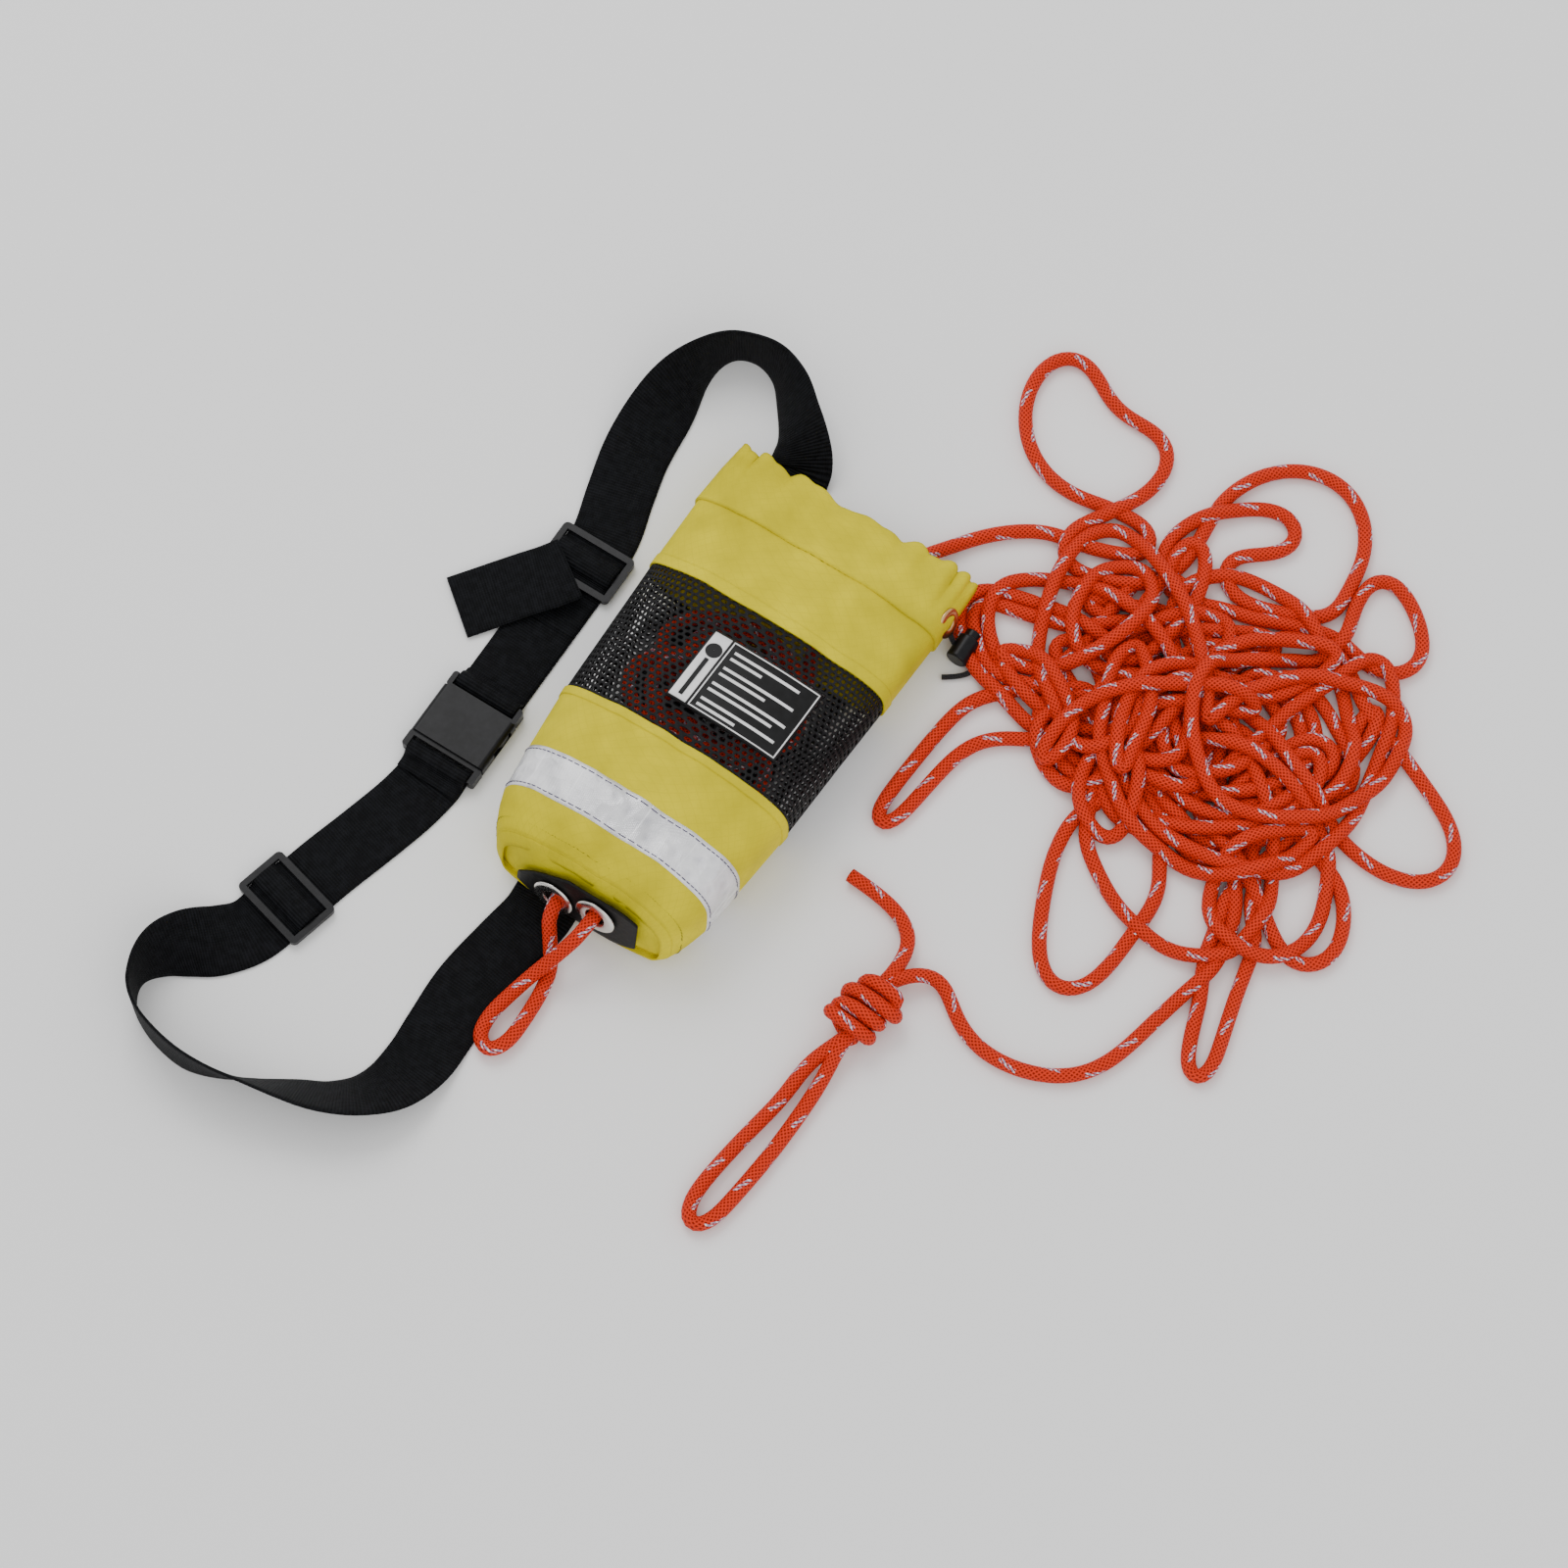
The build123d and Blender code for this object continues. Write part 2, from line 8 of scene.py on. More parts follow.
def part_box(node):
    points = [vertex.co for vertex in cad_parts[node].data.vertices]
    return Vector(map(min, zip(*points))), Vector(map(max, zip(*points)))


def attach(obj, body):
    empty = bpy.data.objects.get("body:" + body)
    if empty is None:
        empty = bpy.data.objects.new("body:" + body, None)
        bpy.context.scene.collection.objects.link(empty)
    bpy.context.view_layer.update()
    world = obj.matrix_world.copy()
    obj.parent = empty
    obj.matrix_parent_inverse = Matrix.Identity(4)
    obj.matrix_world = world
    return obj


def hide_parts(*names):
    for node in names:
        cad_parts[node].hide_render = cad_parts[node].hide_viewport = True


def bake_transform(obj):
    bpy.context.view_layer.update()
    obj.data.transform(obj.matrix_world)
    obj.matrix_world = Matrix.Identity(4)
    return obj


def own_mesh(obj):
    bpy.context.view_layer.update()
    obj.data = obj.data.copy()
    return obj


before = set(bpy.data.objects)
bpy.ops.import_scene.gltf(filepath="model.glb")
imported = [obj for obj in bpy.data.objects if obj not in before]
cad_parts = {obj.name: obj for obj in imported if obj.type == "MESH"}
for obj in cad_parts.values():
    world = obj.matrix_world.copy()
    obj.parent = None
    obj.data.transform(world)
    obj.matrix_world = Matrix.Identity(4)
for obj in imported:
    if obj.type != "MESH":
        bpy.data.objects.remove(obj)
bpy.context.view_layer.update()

ROPE = 0.008
CORD = 0.003
WEB_WIDTH = 0.038
WEB_THICK = 0.0018
BAG_X = 0.050
BASE_Y = -0.072
TAU = 2 * math.pi


# ---------------------------------------------------------------- camera, light, floor

def add_camera():
    """Looks down at the bag from its lower left, as a person standing over it would."""
    turn, lift, distance = math.radians(33), math.radians(68), 2.5
    target = Vector((0.0982, 0.0522, 0.0))
    back = Vector((math.sin(turn) * math.cos(lift), -math.cos(turn) * math.cos(lift), math.sin(lift)))
    data = bpy.data.cameras.new("camera")
    data.lens = 107.3
    data.sensor_width = 36
    data.clip_end = 20
    camera = bpy.data.objects.new("camera", data)
    camera.location = target + back * distance
    camera.rotation_euler = back.to_track_quat("Z", "Y").to_euler()
    bpy.context.scene.collection.objects.link(camera)
    bpy.context.scene.camera = camera


def add_light(name, place, size, power):
    data = bpy.data.lights.new(name, "AREA")
    data.energy = power
    data.size = size
    light = bpy.data.objects.new(name, data)
    light.location = place
    aim = Vector(place) - Vector((0.05, 0.05, 0))
    light.rotation_euler = aim.to_track_quat("Z", "Y").to_euler()
    bpy.context.scene.collection.objects.link(light)


def add_stage():
    half = 6.0
    mesh = bpy.data.meshes.new("floor")
    corners = [(-half, -half, 0), (half, -half, 0), (half, half, 0), (-half, half, 0)]
    mesh.from_pydata(corners, [], [(0, 1, 2, 3)])
    floor = bpy.data.objects.new("floor", mesh)
    bpy.context.scene.collection.objects.link(floor)
    graph = Graph("floor_paper", 0.9)
    graph.shader.inputs["Base Color"].default_value = (0.93, 0.93, 0.93, 1)
    mesh.materials.append(graph.material)
    world = bpy.data.worlds.new("world")
    bpy.context.scene.world = world
    world.use_nodes = True
    world.node_tree.nodes["Background"].inputs["Color"].default_value = (1, 1, 1, 1)
    world.node_tree.nodes["Background"].inputs["Strength"].default_value = 0.95
    add_light("key", (-1.2, 1.0, 2.2), 1.4, 26)
    add_light("fill", (1.6, -1.0, 1.8), 1.8, 12)


# ---------------------------------------------------------------- material helpers

class Graph:
    """A material under construction: its nodes, its links and its main shader."""

    def __init__(self, name, roughness, metallic=0.0, gloss=0.2):
        self.material = bpy.data.materials.new(name)
        self.material.use_nodes = True
        self.nodes, self.links = self.material.node_tree.nodes, self.material.node_tree.links
        self.shader = self.nodes["Principled BSDF"]
        self.shader.inputs["Specular IOR Level"].default_value = gloss
        self.shader.inputs["Roughness"].default_value = roughness
        self.shader.inputs["Metallic"].default_value = metallic

    def connect(self, value, socket):
        """A number is set on the socket, and another node's output is linked to it."""
        if isinstance(value, (int, float)):
            socket.default_value = value
        elif isinstance(value, tuple):
            socket.default_value = (*value, 1)
        else:
            self.links.new(value, socket)

    def color(self, value):
        self.links.new(value, self.shader.inputs["Base Color"])

    def math(self, kind, a, b=None):
        node = self.nodes.new("ShaderNodeMath")
        node.operation = kind
        self.connect(a, node.inputs[0])
        if b is not None:
            self.connect(b, node.inputs[1])
        return node.outputs[0]

    def times(self, a, b):
        return self.math("MULTIPLY", a, b)

    def plus(self, a, b):
        return self.math("ADD", a, b)

    def uv_axes(self):
        coords = self.nodes.new("ShaderNodeTexCoord")
        split = self.nodes.new("ShaderNodeSeparateXYZ")
        self.links.new(coords.outputs["UV"], split.inputs[0])
        return split.outputs[0], split.outputs[1]

    def wave(self, value, frequency):
        """Sine of a coordinate given in metres, at so many cycles a metre."""
        return self.math("SINE", self.times(value, TAU * frequency))

    def noise(self, scale, detail=3.0):
        coords = self.nodes.new("ShaderNodeTexCoord")
        texture = self.nodes.new("ShaderNodeTexNoise")
        texture.inputs["Scale"].default_value = scale
        texture.inputs["Detail"].default_value = detail
        self.links.new(coords.outputs["Object"], texture.inputs["Vector"])
        return texture.outputs["Fac"]

    def ramp(self, value, stops):
        node = self.nodes.new("ShaderNodeValToRGB")
        elements = node.color_ramp.elements
        while len(elements) < len(stops):
            elements.new(0.5)
        for element, (place, color) in zip(elements, stops):
            element.position = place
            element.color = (*color, 1)
        self.links.new(value, node.inputs[0])
        return node.outputs[0]

    def mix(self, share, a, b):
        node = self.nodes.new("ShaderNodeMix")
        node.data_type = "RGBA"
        self.connect(share, node.inputs[0])
        self.connect(a, node.inputs[6])
        self.connect(b, node.inputs[7])
        return node.outputs[2]

    def bump(self, height, strength, distance):
        bump = self.nodes.new("ShaderNodeBump")
        bump.inputs["Strength"].default_value = strength
        bump.inputs["Distance"].default_value = distance
        self.links.new(height, bump.inputs["Height"])
        self.links.new(bump.outputs[0], self.shader.inputs["Normal"])


# ---------------------------------------------------------------- materials

def cloth_material(name, dark, light):
    """Plain-woven polyester: a fine weave on soft blotches of colour."""
    graph = Graph(name, 0.72)
    u, v = graph.uv_axes()
    threads, ripstop_lines = 1400, 165
    weave = graph.times(graph.wave(u, threads), graph.wave(v, threads))
    grain = graph.noise(55, 5.0)
    blotch = graph.noise(14, 2.0)
    tone = graph.times(graph.plus(grain, blotch), 0.5)
    color = graph.ramp(tone, [(0.32, dark), (0.66, light)])
    rising = graph.wave(graph.plus(u, v), ripstop_lines)
    falling = graph.wave(graph.math("SUBTRACT", u, v), ripstop_lines)
    ripstop = graph.math("GREATER_THAN", graph.math("MAXIMUM", rising, falling), 0.93)
    color = graph.mix(graph.times(ripstop, 0.22), color, dark)
    graph.color(color)
    height = graph.plus(graph.times(weave, 0.25), grain)
    height = graph.plus(height, graph.times(ripstop, 0.4))
    graph.bump(height, 0.35, 0.0006)
    return graph.material


def webbing_material():
    """Black ribbed webbing: ribs across the width."""
    graph = Graph("webbing_black", 0.7, gloss=0.12)
    u, v = graph.uv_axes()
    ribs = graph.wave(v, 640)
    cross = graph.wave(u, 700)
    fuzz = graph.noise(260, 4.0)
    height = graph.plus(ribs, graph.times(cross, 0.35))
    # Rib height is added to the colour: painted shade in the grooves between ribs, lighter on the rib tops;
    # the fuzz is random tone.
    shade = graph.plus(graph.times(ribs, 0.16), fuzz)
    color = graph.ramp(shade, [(0.3, (0.0008, 0.0009, 0.0014)), (0.75, (0.0065, 0.007, 0.009))])
    graph.color(color)
    graph.bump(height, 0.5, 0.0004)
    return graph.material


def rope_material(name="rope_braid", base=(0.66, 0.026, 0.0), hollow_shade=(0.20, 0.003, 0.0), flecks=True):
    """Round braid: two crossing sets of strands, with painted shade in the hollows between them and a painted
    highlight on their crowns, and a paired pale fleck every so often.
    """
    graph = Graph(name, 0.5, gloss=0.15)
    u, v = graph.uv_axes()
    strands, lay = 10, 150.0
    around = graph.times(u, TAU * strands)
    along = graph.times(v, TAU * lay * 2.4)
    first = graph.math("SINE", graph.plus(around, along))
    second = graph.math("SINE", graph.math("SUBTRACT", around, along))
    braid = graph.math("MAXIMUM", first, second)
    fine = graph.noise(900, 2.0)
    # A lighter copy of the base colour: the painted highlight on the strand crowns.
    crown_highlight = tuple(min(1.0, c * 1.12 + 0.01) for c in base)
    relief = graph.times(graph.plus(braid, 1.0), 0.5)
    # The braid's relief sets the colour: painted shade in the hollows between strands, the painted highlight
    # on their crowns.
    color = graph.ramp(relief, [(0.15, hollow_shade), (0.6, base), (1.0, crown_highlight)])
    if flecks:
        spiral = graph.plus(graph.times(u, 2.0), graph.times(v, 27.0))
        band = graph.math("FRACT", spiral)
        side = graph.math("LESS_THAN", graph.math("ABSOLUTE", graph.math("SUBTRACT", band, 0.5)), 0.095)
        run = graph.math("GREATER_THAN", graph.wave(v, 44), 0.15)
        tick = graph.math("GREATER_THAN", first, -0.35)
        mask = graph.times(graph.times(side, run), tick)
        pale = graph.ramp(graph.wave(v, 380), [(0.2, (0.42, 0.30, 0.42)), (0.7, (0.86, 0.80, 0.82))])
        color = graph.mix(mask, color, pale)
    graph.color(color)
    height = graph.plus(braid, graph.times(fine, 0.4))
    graph.bump(height, 0.7, 0.0005)
    return graph.material


def reflective_material():
    """Glossy silver vinyl over fine prisms, welded in cells."""
    graph = Graph("reflective_vinyl", 0.2, 0.35)
    u, v = graph.uv_axes()
    prisms = graph.times(graph.wave(u, 900), graph.wave(v, 900))
    cloud = graph.noise(38, 4.0)
    greys = [(0.34, (0.42, 0.42, 0.46)), (0.5, (0.72, 0.72, 0.76)), (0.64, (0.95, 0.95, 0.98))]
    color = graph.ramp(cloud, greys)
    cell = graph.math("ABSOLUTE", graph.wave(u, 19.0))
    line = graph.math("LESS_THAN", cell, 0.035)
    color = graph.mix(line, color, (0.92, 0.92, 0.94))
    facets = graph.nodes.new("ShaderNodeTexVoronoi")
    facets.inputs["Scale"].default_value = 130
    coords = graph.nodes.new("ShaderNodeTexCoord")
    graph.links.new(coords.outputs["Object"], facets.inputs["Vector"])
    # The facet distance also raises the crease bump: this ramp is painted shade in the crease hollows and a
    # painted highlight on their ridges.
    shade = graph.ramp(facets.outputs["Distance"], [(0.0, (0.62, 0.62, 0.66)), (0.45, (1.0, 1.0, 1.0))])
    color = graph.mix(0.45, color, shade)
    graph.color(color)
    crease = graph.plus(graph.noise(85, 2.0), facets.outputs["Distance"])
    height = graph.plus(graph.times(prisms, 0.12), graph.times(crease, 2.2))
    graph.bump(height, 0.55, 0.0012)
    graph.shader.inputs["Coat Weight"].default_value = 0.7
    graph.shader.inputs["Coat Roughness"].default_value = 0.08
    return graph.material


def grained_material(name, dark, light, roughness, scale, strength, metallic=0.0, coat=0.0):
    """Moulded plastic, leatherette, foam, card or metal: a grain that shifts colour and height."""
    graph = Graph(name, roughness, metallic)
    grain = graph.noise(scale, 6.0)
    broad = graph.noise(scale / 12, 2.0)
    tone = graph.times(graph.plus(grain, broad), 0.5)
    graph.color(graph.ramp(tone, [(0.35, dark), (0.65, light)]))
    graph.bump(grain, strength, 0.0003)
    graph.shader.inputs["Coat Weight"].default_value = coat
    return graph.material


# Material name, dark and light colour, roughness, grain scale, grain depth, metallic, clear coat
GRAINED = {
    "mesh": ("mesh_knit", (0.001, 0.001, 0.0015), (0.008, 0.008, 0.009), 0.6, 900, 0.4),
    "thread": ("dark_thread", (0.02, 0.015, 0.05), (0.07, 0.05, 0.14), 0.6, 1200, 0.5),
    "olive_thread": ("olive_thread", (0.02, 0.016, 0.004), (0.06, 0.05, 0.01), 0.6, 1200, 0.5),
    "white": ("white_print", (0.72, 0.72, 0.72), (0.86, 0.86, 0.86), 0.5, 300, 0.1),
    "card": ("black_card", (0.002, 0.002, 0.002), (0.009, 0.009, 0.01), 0.35, 220, 0.15, 0.0, 0.1),
    "leather": ("black_leatherette", (0.001, 0.001, 0.001), (0.008, 0.008, 0.008), 0.5, 420, 0.6),
    "plastic": ("black_acetal", (0.0025, 0.0025, 0.003), (0.010, 0.010, 0.012), 0.32, 260, 0.18),
    "nickel": ("bright_nickel", (0.55, 0.53, 0.50), (0.78, 0.76, 0.72), 0.22, 90, 0.08, 1.0),
    "brass": ("worn_brass", (0.48, 0.28, 0.10), (0.78, 0.52, 0.26), 0.28, 120, 0.12, 1.0),
    "steel": ("spring_wire", (0.4, 0.4, 0.4), (0.6, 0.6, 0.6), 0.3, 200, 0.1, 1.0),
    "foam": ("closed_cell_foam", (0.7, 0.7, 0.66), (0.85, 0.85, 0.8), 0.8, 600, 0.6),
}


def make_materials():
    materials = {"yellow": cloth_material("yellow_polyester", (0.52, 0.435, 0.0), (0.74, 0.63, 0.0))}
    for key, look in GRAINED.items():
        materials[key] = grained_material(*look)
    materials["webbing"] = webbing_material()
    materials["rope"] = rope_material()
    # The drawcord's second colour is the painted shade in its braid hollows, and its crowns get the painted
    # highlight.
    materials["drawcord"] = rope_material("drawcord_braid", (0.02, 0.02, 0.022), (0.004, 0.004, 0.005), False)
    materials["reflective"] = reflective_material()
    return materials


# ---------------------------------------------------------------- mesh helpers

def mesh_object(name, verts, faces, material, uvs=None, smooth=True):
    """uvs holds one pair for each face corner, in face order."""
    mesh = bpy.data.meshes.new(name)
    mesh.from_pydata([tuple(v) for v in verts], [], faces)
    mesh.materials.append(material)
    if uvs is not None:
        layer = mesh.uv_layers.new(name="UVMap")
        layer.data.foreach_set("uv", np.asarray(uvs, np.float32).ravel())
    if smooth:
        mesh.polygons.foreach_set("use_smooth", [True] * len(mesh.polygons))
    mesh.update()
    obj = bpy.data.objects.new(name, mesh)
    bpy.context.scene.collection.objects.link(obj)
    return obj


def apply_modifiers(obj):
    depsgraph = bpy.context.evaluated_depsgraph_get()
    mesh = bpy.data.meshes.new_from_object(obj.evaluated_get(depsgraph))
    obj.modifiers.clear()
    obj.data = mesh


def thicken(obj, thickness, offset=-1.0):
    modifier = obj.modifiers.new("solidify", "SOLIDIFY")
    modifier.thickness = thickness
    modifier.offset = offset
    apply_modifiers(obj)


def grid_object(name, point_at, us, vs, material, closed=False, uv_at=None):
    """A sheet of quads: point_at(u, v) gives its points, and uv_at its texture place in metres."""
    count_u, count_v = len(us), len(vs)
    verts = [point_at(u, v) for v in vs for u in us]
    faces, uvs = [], []
    last = count_u if closed else count_u - 1
    step = us[1] - us[0]
    for j in range(count_v - 1):
        for i in range(last):
            k = (i + 1) % count_u
            faces.append((j * count_u + i, j * count_u + k, (j + 1) * count_u + k, (j + 1) * count_u + i))
            corners = ((us[i], vs[j]), (us[i] + step, vs[j]), (us[i] + step, vs[j + 1]), (us[i], vs[j + 1]))
            uvs += [uv_at(*c) if uv_at else c for c in corners]
    return mesh_object(name, verts, faces, material, uvs)


def nurbs_points(route, per_span=8):
    """Points of the smooth open NURBS line whose control points are the route."""
    data = bpy.data.curves.new("route", "CURVE")
    data.dimensions = "3D"
    spline = data.splines.new("NURBS")
    spline.points.add(len(route) - 1)
    for point, place in zip(spline.points, route):
        point.co = (*place, 1)
    spline.order_u = 3
    spline.use_endpoint_u = True
    spline.resolution_u = per_span
    obj = bpy.data.objects.new("route", data)
    bpy.context.scene.collection.objects.link(obj)
    mesh = bpy.data.meshes.new_from_object(obj)
    points = np.array([v.co[:] for v in mesh.vertices])
    bpy.data.objects.remove(obj)
    return points


def even_spacing(points, step):
    """The same line at an even spacing."""
    gaps = np.linalg.norm(np.diff(points, axis=0), axis=1)
    along = np.concatenate([[0], np.cumsum(gaps)])
    count = max(8, int(round(along[-1] / step)) + 1)
    places = np.linspace(0, along[-1], count)
    return np.stack([np.interp(places, along, points[:, k]) for k in range(3)], axis=1)


def smooth_line(points, rounds):
    points = points.copy()
    for _ in range(rounds):
        points[1:-1] = 0.5 * points[1:-1] + 0.25 * (points[:-2] + points[2:])
    return points


def tube_object(name, points, diameter, material, sides=12):
    """Tube along points, its section carried along without twist; UV is turns round, metres along."""
    tangents = np.gradient(points, axis=0)
    tangents /= np.linalg.norm(tangents, axis=1)[:, None]
    side = np.cross(tangents[0], (0, 0, 1.0))
    if np.linalg.norm(side) < 0.1:
        side = np.cross(tangents[0], (1.0, 0, 0))
    side /= np.linalg.norm(side)
    along = np.concatenate([[0], np.cumsum(np.linalg.norm(np.diff(points, axis=0), axis=1))])
    angles = np.arange(sides) * TAU / sides
    verts, faces, uvs = [], [], []
    for point, tangent in zip(points, tangents):
        side = side - tangent * side.dot(tangent)
        side /= np.linalg.norm(side)
        up = np.cross(side, tangent)
        verts += [point + diameter / 2 * (math.cos(a) * side + math.sin(a) * up) for a in angles]
    for j in range(len(points) - 1):
        for i in range(sides):
            k = (i + 1) % sides
            faces.append((j * sides + i, (j + 1) * sides + i, (j + 1) * sides + k, j * sides + k))
            low, high = i / sides, (i + 1) / sides
            uvs += [(low, along[j]), (low, along[j + 1]), (high, along[j + 1]), (high, along[j])]
    for ring, place, flip in ((0, 0, False), (len(points) - 1, along[-1], True)):
        loop = [ring * sides + i for i in range(sides)]
        faces.append(tuple(loop[::-1] if flip else loop))
        uvs += [(0.5, place)] * sides
    return mesh_object(name, verts, faces, material, uvs)


def lathe(name, profile, centre, axis, material, segments=48):
    """A closed profile of (radius, height) turned about an axis."""
    turn = Vector(axis).to_track_quat("Z", "Y")
    verts, faces = [], []
    count = len(profile)
    for s in range(segments):
        angle = s * TAU / segments
        for radius, height in profile:
            local = Vector((radius * math.cos(angle), radius * math.sin(angle), height))
            verts.append(Vector(centre) + turn @ local)
    for s in range(segments):
        t = (s + 1) % segments
        for i in range(count):
            k = (i + 1) % count
            faces.append((s * count + i, t * count + i, t * count + k, s * count + k))
    return mesh_object(name, verts, faces, material)


# ---------------------------------------------------------------- rope

MOUTH_ROUTE = (
    (.072, .120, .020), (.076, .148, .018), (.082, .176, .016), (.092, .204, .011), (.104, .228, .007),
    (.123, .246, .005), (.146, .260, .006), (.170, .262, .009),
)
HEART_ROUTE = (
    (.190, .258, .009), (.200, .274, .009), (.192, .287, .006), (.172, .287, .008), (.150, .279, .009),
    (.124, .278, .006), (.102, .289, .005), (.088, .307, .005), (.081, .328, .005), (.084, .350, .005),
    (.098, .360, .005), (.114, .349, .005), (.131, .333, .005), (.148, .337, .005), (.166, .342, .005),
    (.178, .325, .005), (.175, .300, .006), (.161, .272, .012), (.144, .250, .014),
)
UPPER_RIGHT_ROUTE = (
    (.160, .232, .014), (.185, .240, .012), (.203, .258, .009), (.211, .284, .006), (.208, .310, .005),
    (.210, .336, .005), (.224, .357, .005), (.246, .369, .005), (.268, .367, .005), (.286, .352, .005),
    (.296, .328, .005), (.299, .302, .006), (.292, .278, .009),
)
INNER_ROUTE = (
    (.262, .262, .012), (.236, .276, .010), (.222, .290, .007), (.240, .303, .006), (.258, .313, .005),
    (.260, .328, .005), (.247, .338, .006), (.230, .333, .008), (.212, .318, .013), (.199, .295, .012),
    (.189, .270, .012),
)
RIGHT_ROUTE = (
    (.215, .250, .012), (.255, .268, .012), (.290, .276, .011), (.318, .275, .008), (.336, .279, .006),
    (.351, .285, .005), (.354, .298, .005), (.343, .313, .005), (.324, .328, .005), (.306, .336, .006),
    (.296, .322, .012), (.301, .298, .012), (.318, .270, .009),
)
LOWER_RIGHT_ROUTE = (
    (.378, .238, .007), (.401, .231, .005), (.419, .220, .005), (.427, .204, .005), (.422, .188, .005),
    (.402, .180, .005), (.380, .178, .007),
)
CORNER_ROUTE = (
    (.378, .168, .007), (.392, .146, .005), (.399, .126, .005), (.392, .110, .005), (.374, .108, .006),
    (.350, .122, .007),
)
LOW_LEFT_ROUTE = (
    (.234, .108, .007), (.244, .084, .005), (.254, .060, .005), (.264, .038, .005), (.282, .024, .005),
    (.297, .036, .005), (.300, .062, .005), (.300, .086, .006), (.304, .116, .007),
)
BIGHT_ROUTE = (
    (.330, .122, .007), (.336, .095, .005), (.348, .067, .005), (.357, .040, .005), (.365, .021, .005),
    (.376, .022, .005), (.374, .040, .005), (.366, .066, .005), (.360, .092, .006), (.360, .118, .007),
)
KNOT_RUN_ROUTE = (
    (.345, .118, .014), (.350, .092, .010), (.341, .066, .006), (.333, .042, .005), (.331, .018, .005),
    (.322, -.004, .005), (.302, -.016, .005), (.276, -.022, .005), (.254, -.020, .005),
    (.239, -.005, .005), (.226, .008, .006), (.216, -.004, .009),
)
HAND_LOOP_ROUTE = (
    (.195, -.074, .006), (.195, -.097, .005), (.190, -.122, .005), (.186, -.148, .005),
    (.184, -.171, .005), (.191, -.184, .005), (.200, -.176, .005), (.203, -.154, .005),
    (.206, -.128, .005), (.207, -.101, .005), (.207, -.077, .006),
)
TAIL_END_ROUTE = ((.207, .000, .009), (.203, .015, .005), (.184, .025, .005), (.157, .026, .005))
BASE_LOOP_ROUTE = (
    (.063, -.054, .031), (.0626, -.084, .030), (.056, -.099, .020), (.049, -.113, .011),
    (.044, -.128, .0065), (.041, -.143, .0062), (.043, -.156, .0062), (.052, -.160, .006),
    (.058, -.150, .006), (.058, -.134, .006), (.057, -.118, .006), (.054, -.104, .0065),
    (.046, -.093, .012), (.038, -.082, .0225), (.037, -.054, .024),
)
DRAWCORD_ROUTE = (
    (.108, .171, .0183), (.127, .171, .0178), (.1305, .1686, .009), (.134, .168, .0068),
    (.143, .168, .0064), (.148, .166, .0045), (.148, .160, .0025), (.142, .154, .0018),
    (.136, .150, .0018),
)
BY_MOUTH_ROUTE = (
    (.185, .205, .020), (.160, .204, .012), (.144, .204, .006), (.133, .206, .006), (.124, .202, .006),
    (.119, .194, .006), (.124, .187, .007), (.136, .179, .008), (.148, .170, .012), (.170, .160, .020),
)
FOLDS_ROUTE = (
    (.190, .172, .016), (.161, .169, .010), (.154, .144, .006), (.151, .110, .005), (.149, .082, .005),
    (.148, .056, .005), (.155, .049, .005), (.161, .063, .005), (.164, .092, .006), (.168, .131, .010),
    (.190, .140, .016),
)
KNOT_START = Vector((0.2125, -0.0110, 0.0130))
KNOT_END = Vector((0.1985, -0.0600, 0.0130))
SETTLING_STEP, ROPE_STEP = 0.006, 0.0035


def packed_turns(turns=8):
    """Rope still stuffed in the bag: flat turns wandering up its length."""
    points = []
    steps = 14
    for i in range(turns * steps):
        angle = i * TAU / steps
        share = i / (turns * steps)
        reach = 0.030 + 0.009 * math.sin(5.3 * share * TAU)
        x = BAG_X + reach * 1.25 * math.cos(angle)
        y = 0.012 + 0.085 * share + reach * 0.85 * math.sin(angle)
        points.append((x, y, 0.016 + 0.030 * (1 - abs(2 * share - 1)) + 0.004 * math.sin(angle * 1.7)))
    return points


def heap_turns(rng, turns, centre, spread, height):
    """Loose loops of uneven size that wander over the heap, the last of them lowest."""
    points = []
    steps = 12
    tilt = rng.uniform(0, math.pi)
    size = 0.05
    shape = 0.6
    place = np.array(centre)
    for turn in range(turns):
        goal = np.array(centre) + rng.uniform(-1, 1, 2) * spread
        next_tilt = tilt + rng.uniform(-1.1, 1.1)
        next_size = rng.uniform(0.026, 0.078)
        next_shape = rng.uniform(0.30, 0.85)
        for step in range(steps):
            share = step / steps
            angle = share * TAU
            now_tilt = tilt + (next_tilt - tilt) * share
            now_size = size + (next_size - size) * share
            now_shape = shape + (next_shape - shape) * share
            middle = place + (goal - place) * share
            along, across = now_size * math.cos(angle), now_size * now_shape * math.sin(angle)
            x = middle[0] + along * math.cos(now_tilt) - across * math.sin(now_tilt)
            y = middle[1] + along * math.sin(now_tilt) + across * math.cos(now_tilt)
            level = height * (1 - (turn + share) / turns)
            points.append((x, y, 0.006 + level))
        tilt, size, shape, place = next_tilt, next_size, next_shape, goal
    return points


def knot_strand(turns, phase, reverse):
    """One strand of the knot: straight into it, wound back round itself and out at the far end."""
    axis = (KNOT_END - KNOT_START).normalized()
    side = axis.cross(Vector((0, 0, 1))).normalized()
    up = side.cross(axis)
    length = (KNOT_END - KNOT_START).length
    points = []
    steps = 9
    total = int(turns * steps)
    for i in range(total + 1):
        share = i / total
        angle = phase + i * TAU / steps
        place = KNOT_START + axis * (length * (0.84 - 0.68 * share))
        wide = 0.0150 + 0.0022 * math.sin(2.1 * angle + phase)
        points.append(place + side * wide * math.cos(angle) + up * 0.0088 * math.sin(angle))
    inward = [KNOT_START + axis * length * s + side * 0.004 for s in (0.12, 0.4, 0.7)]
    outward = [KNOT_START + axis * length * s - side * 0.005 for s in (0.35, 0.65, 0.92)]
    route = inward + points + outward
    return [tuple(p) for p in (route[::-1] if reverse else route)]


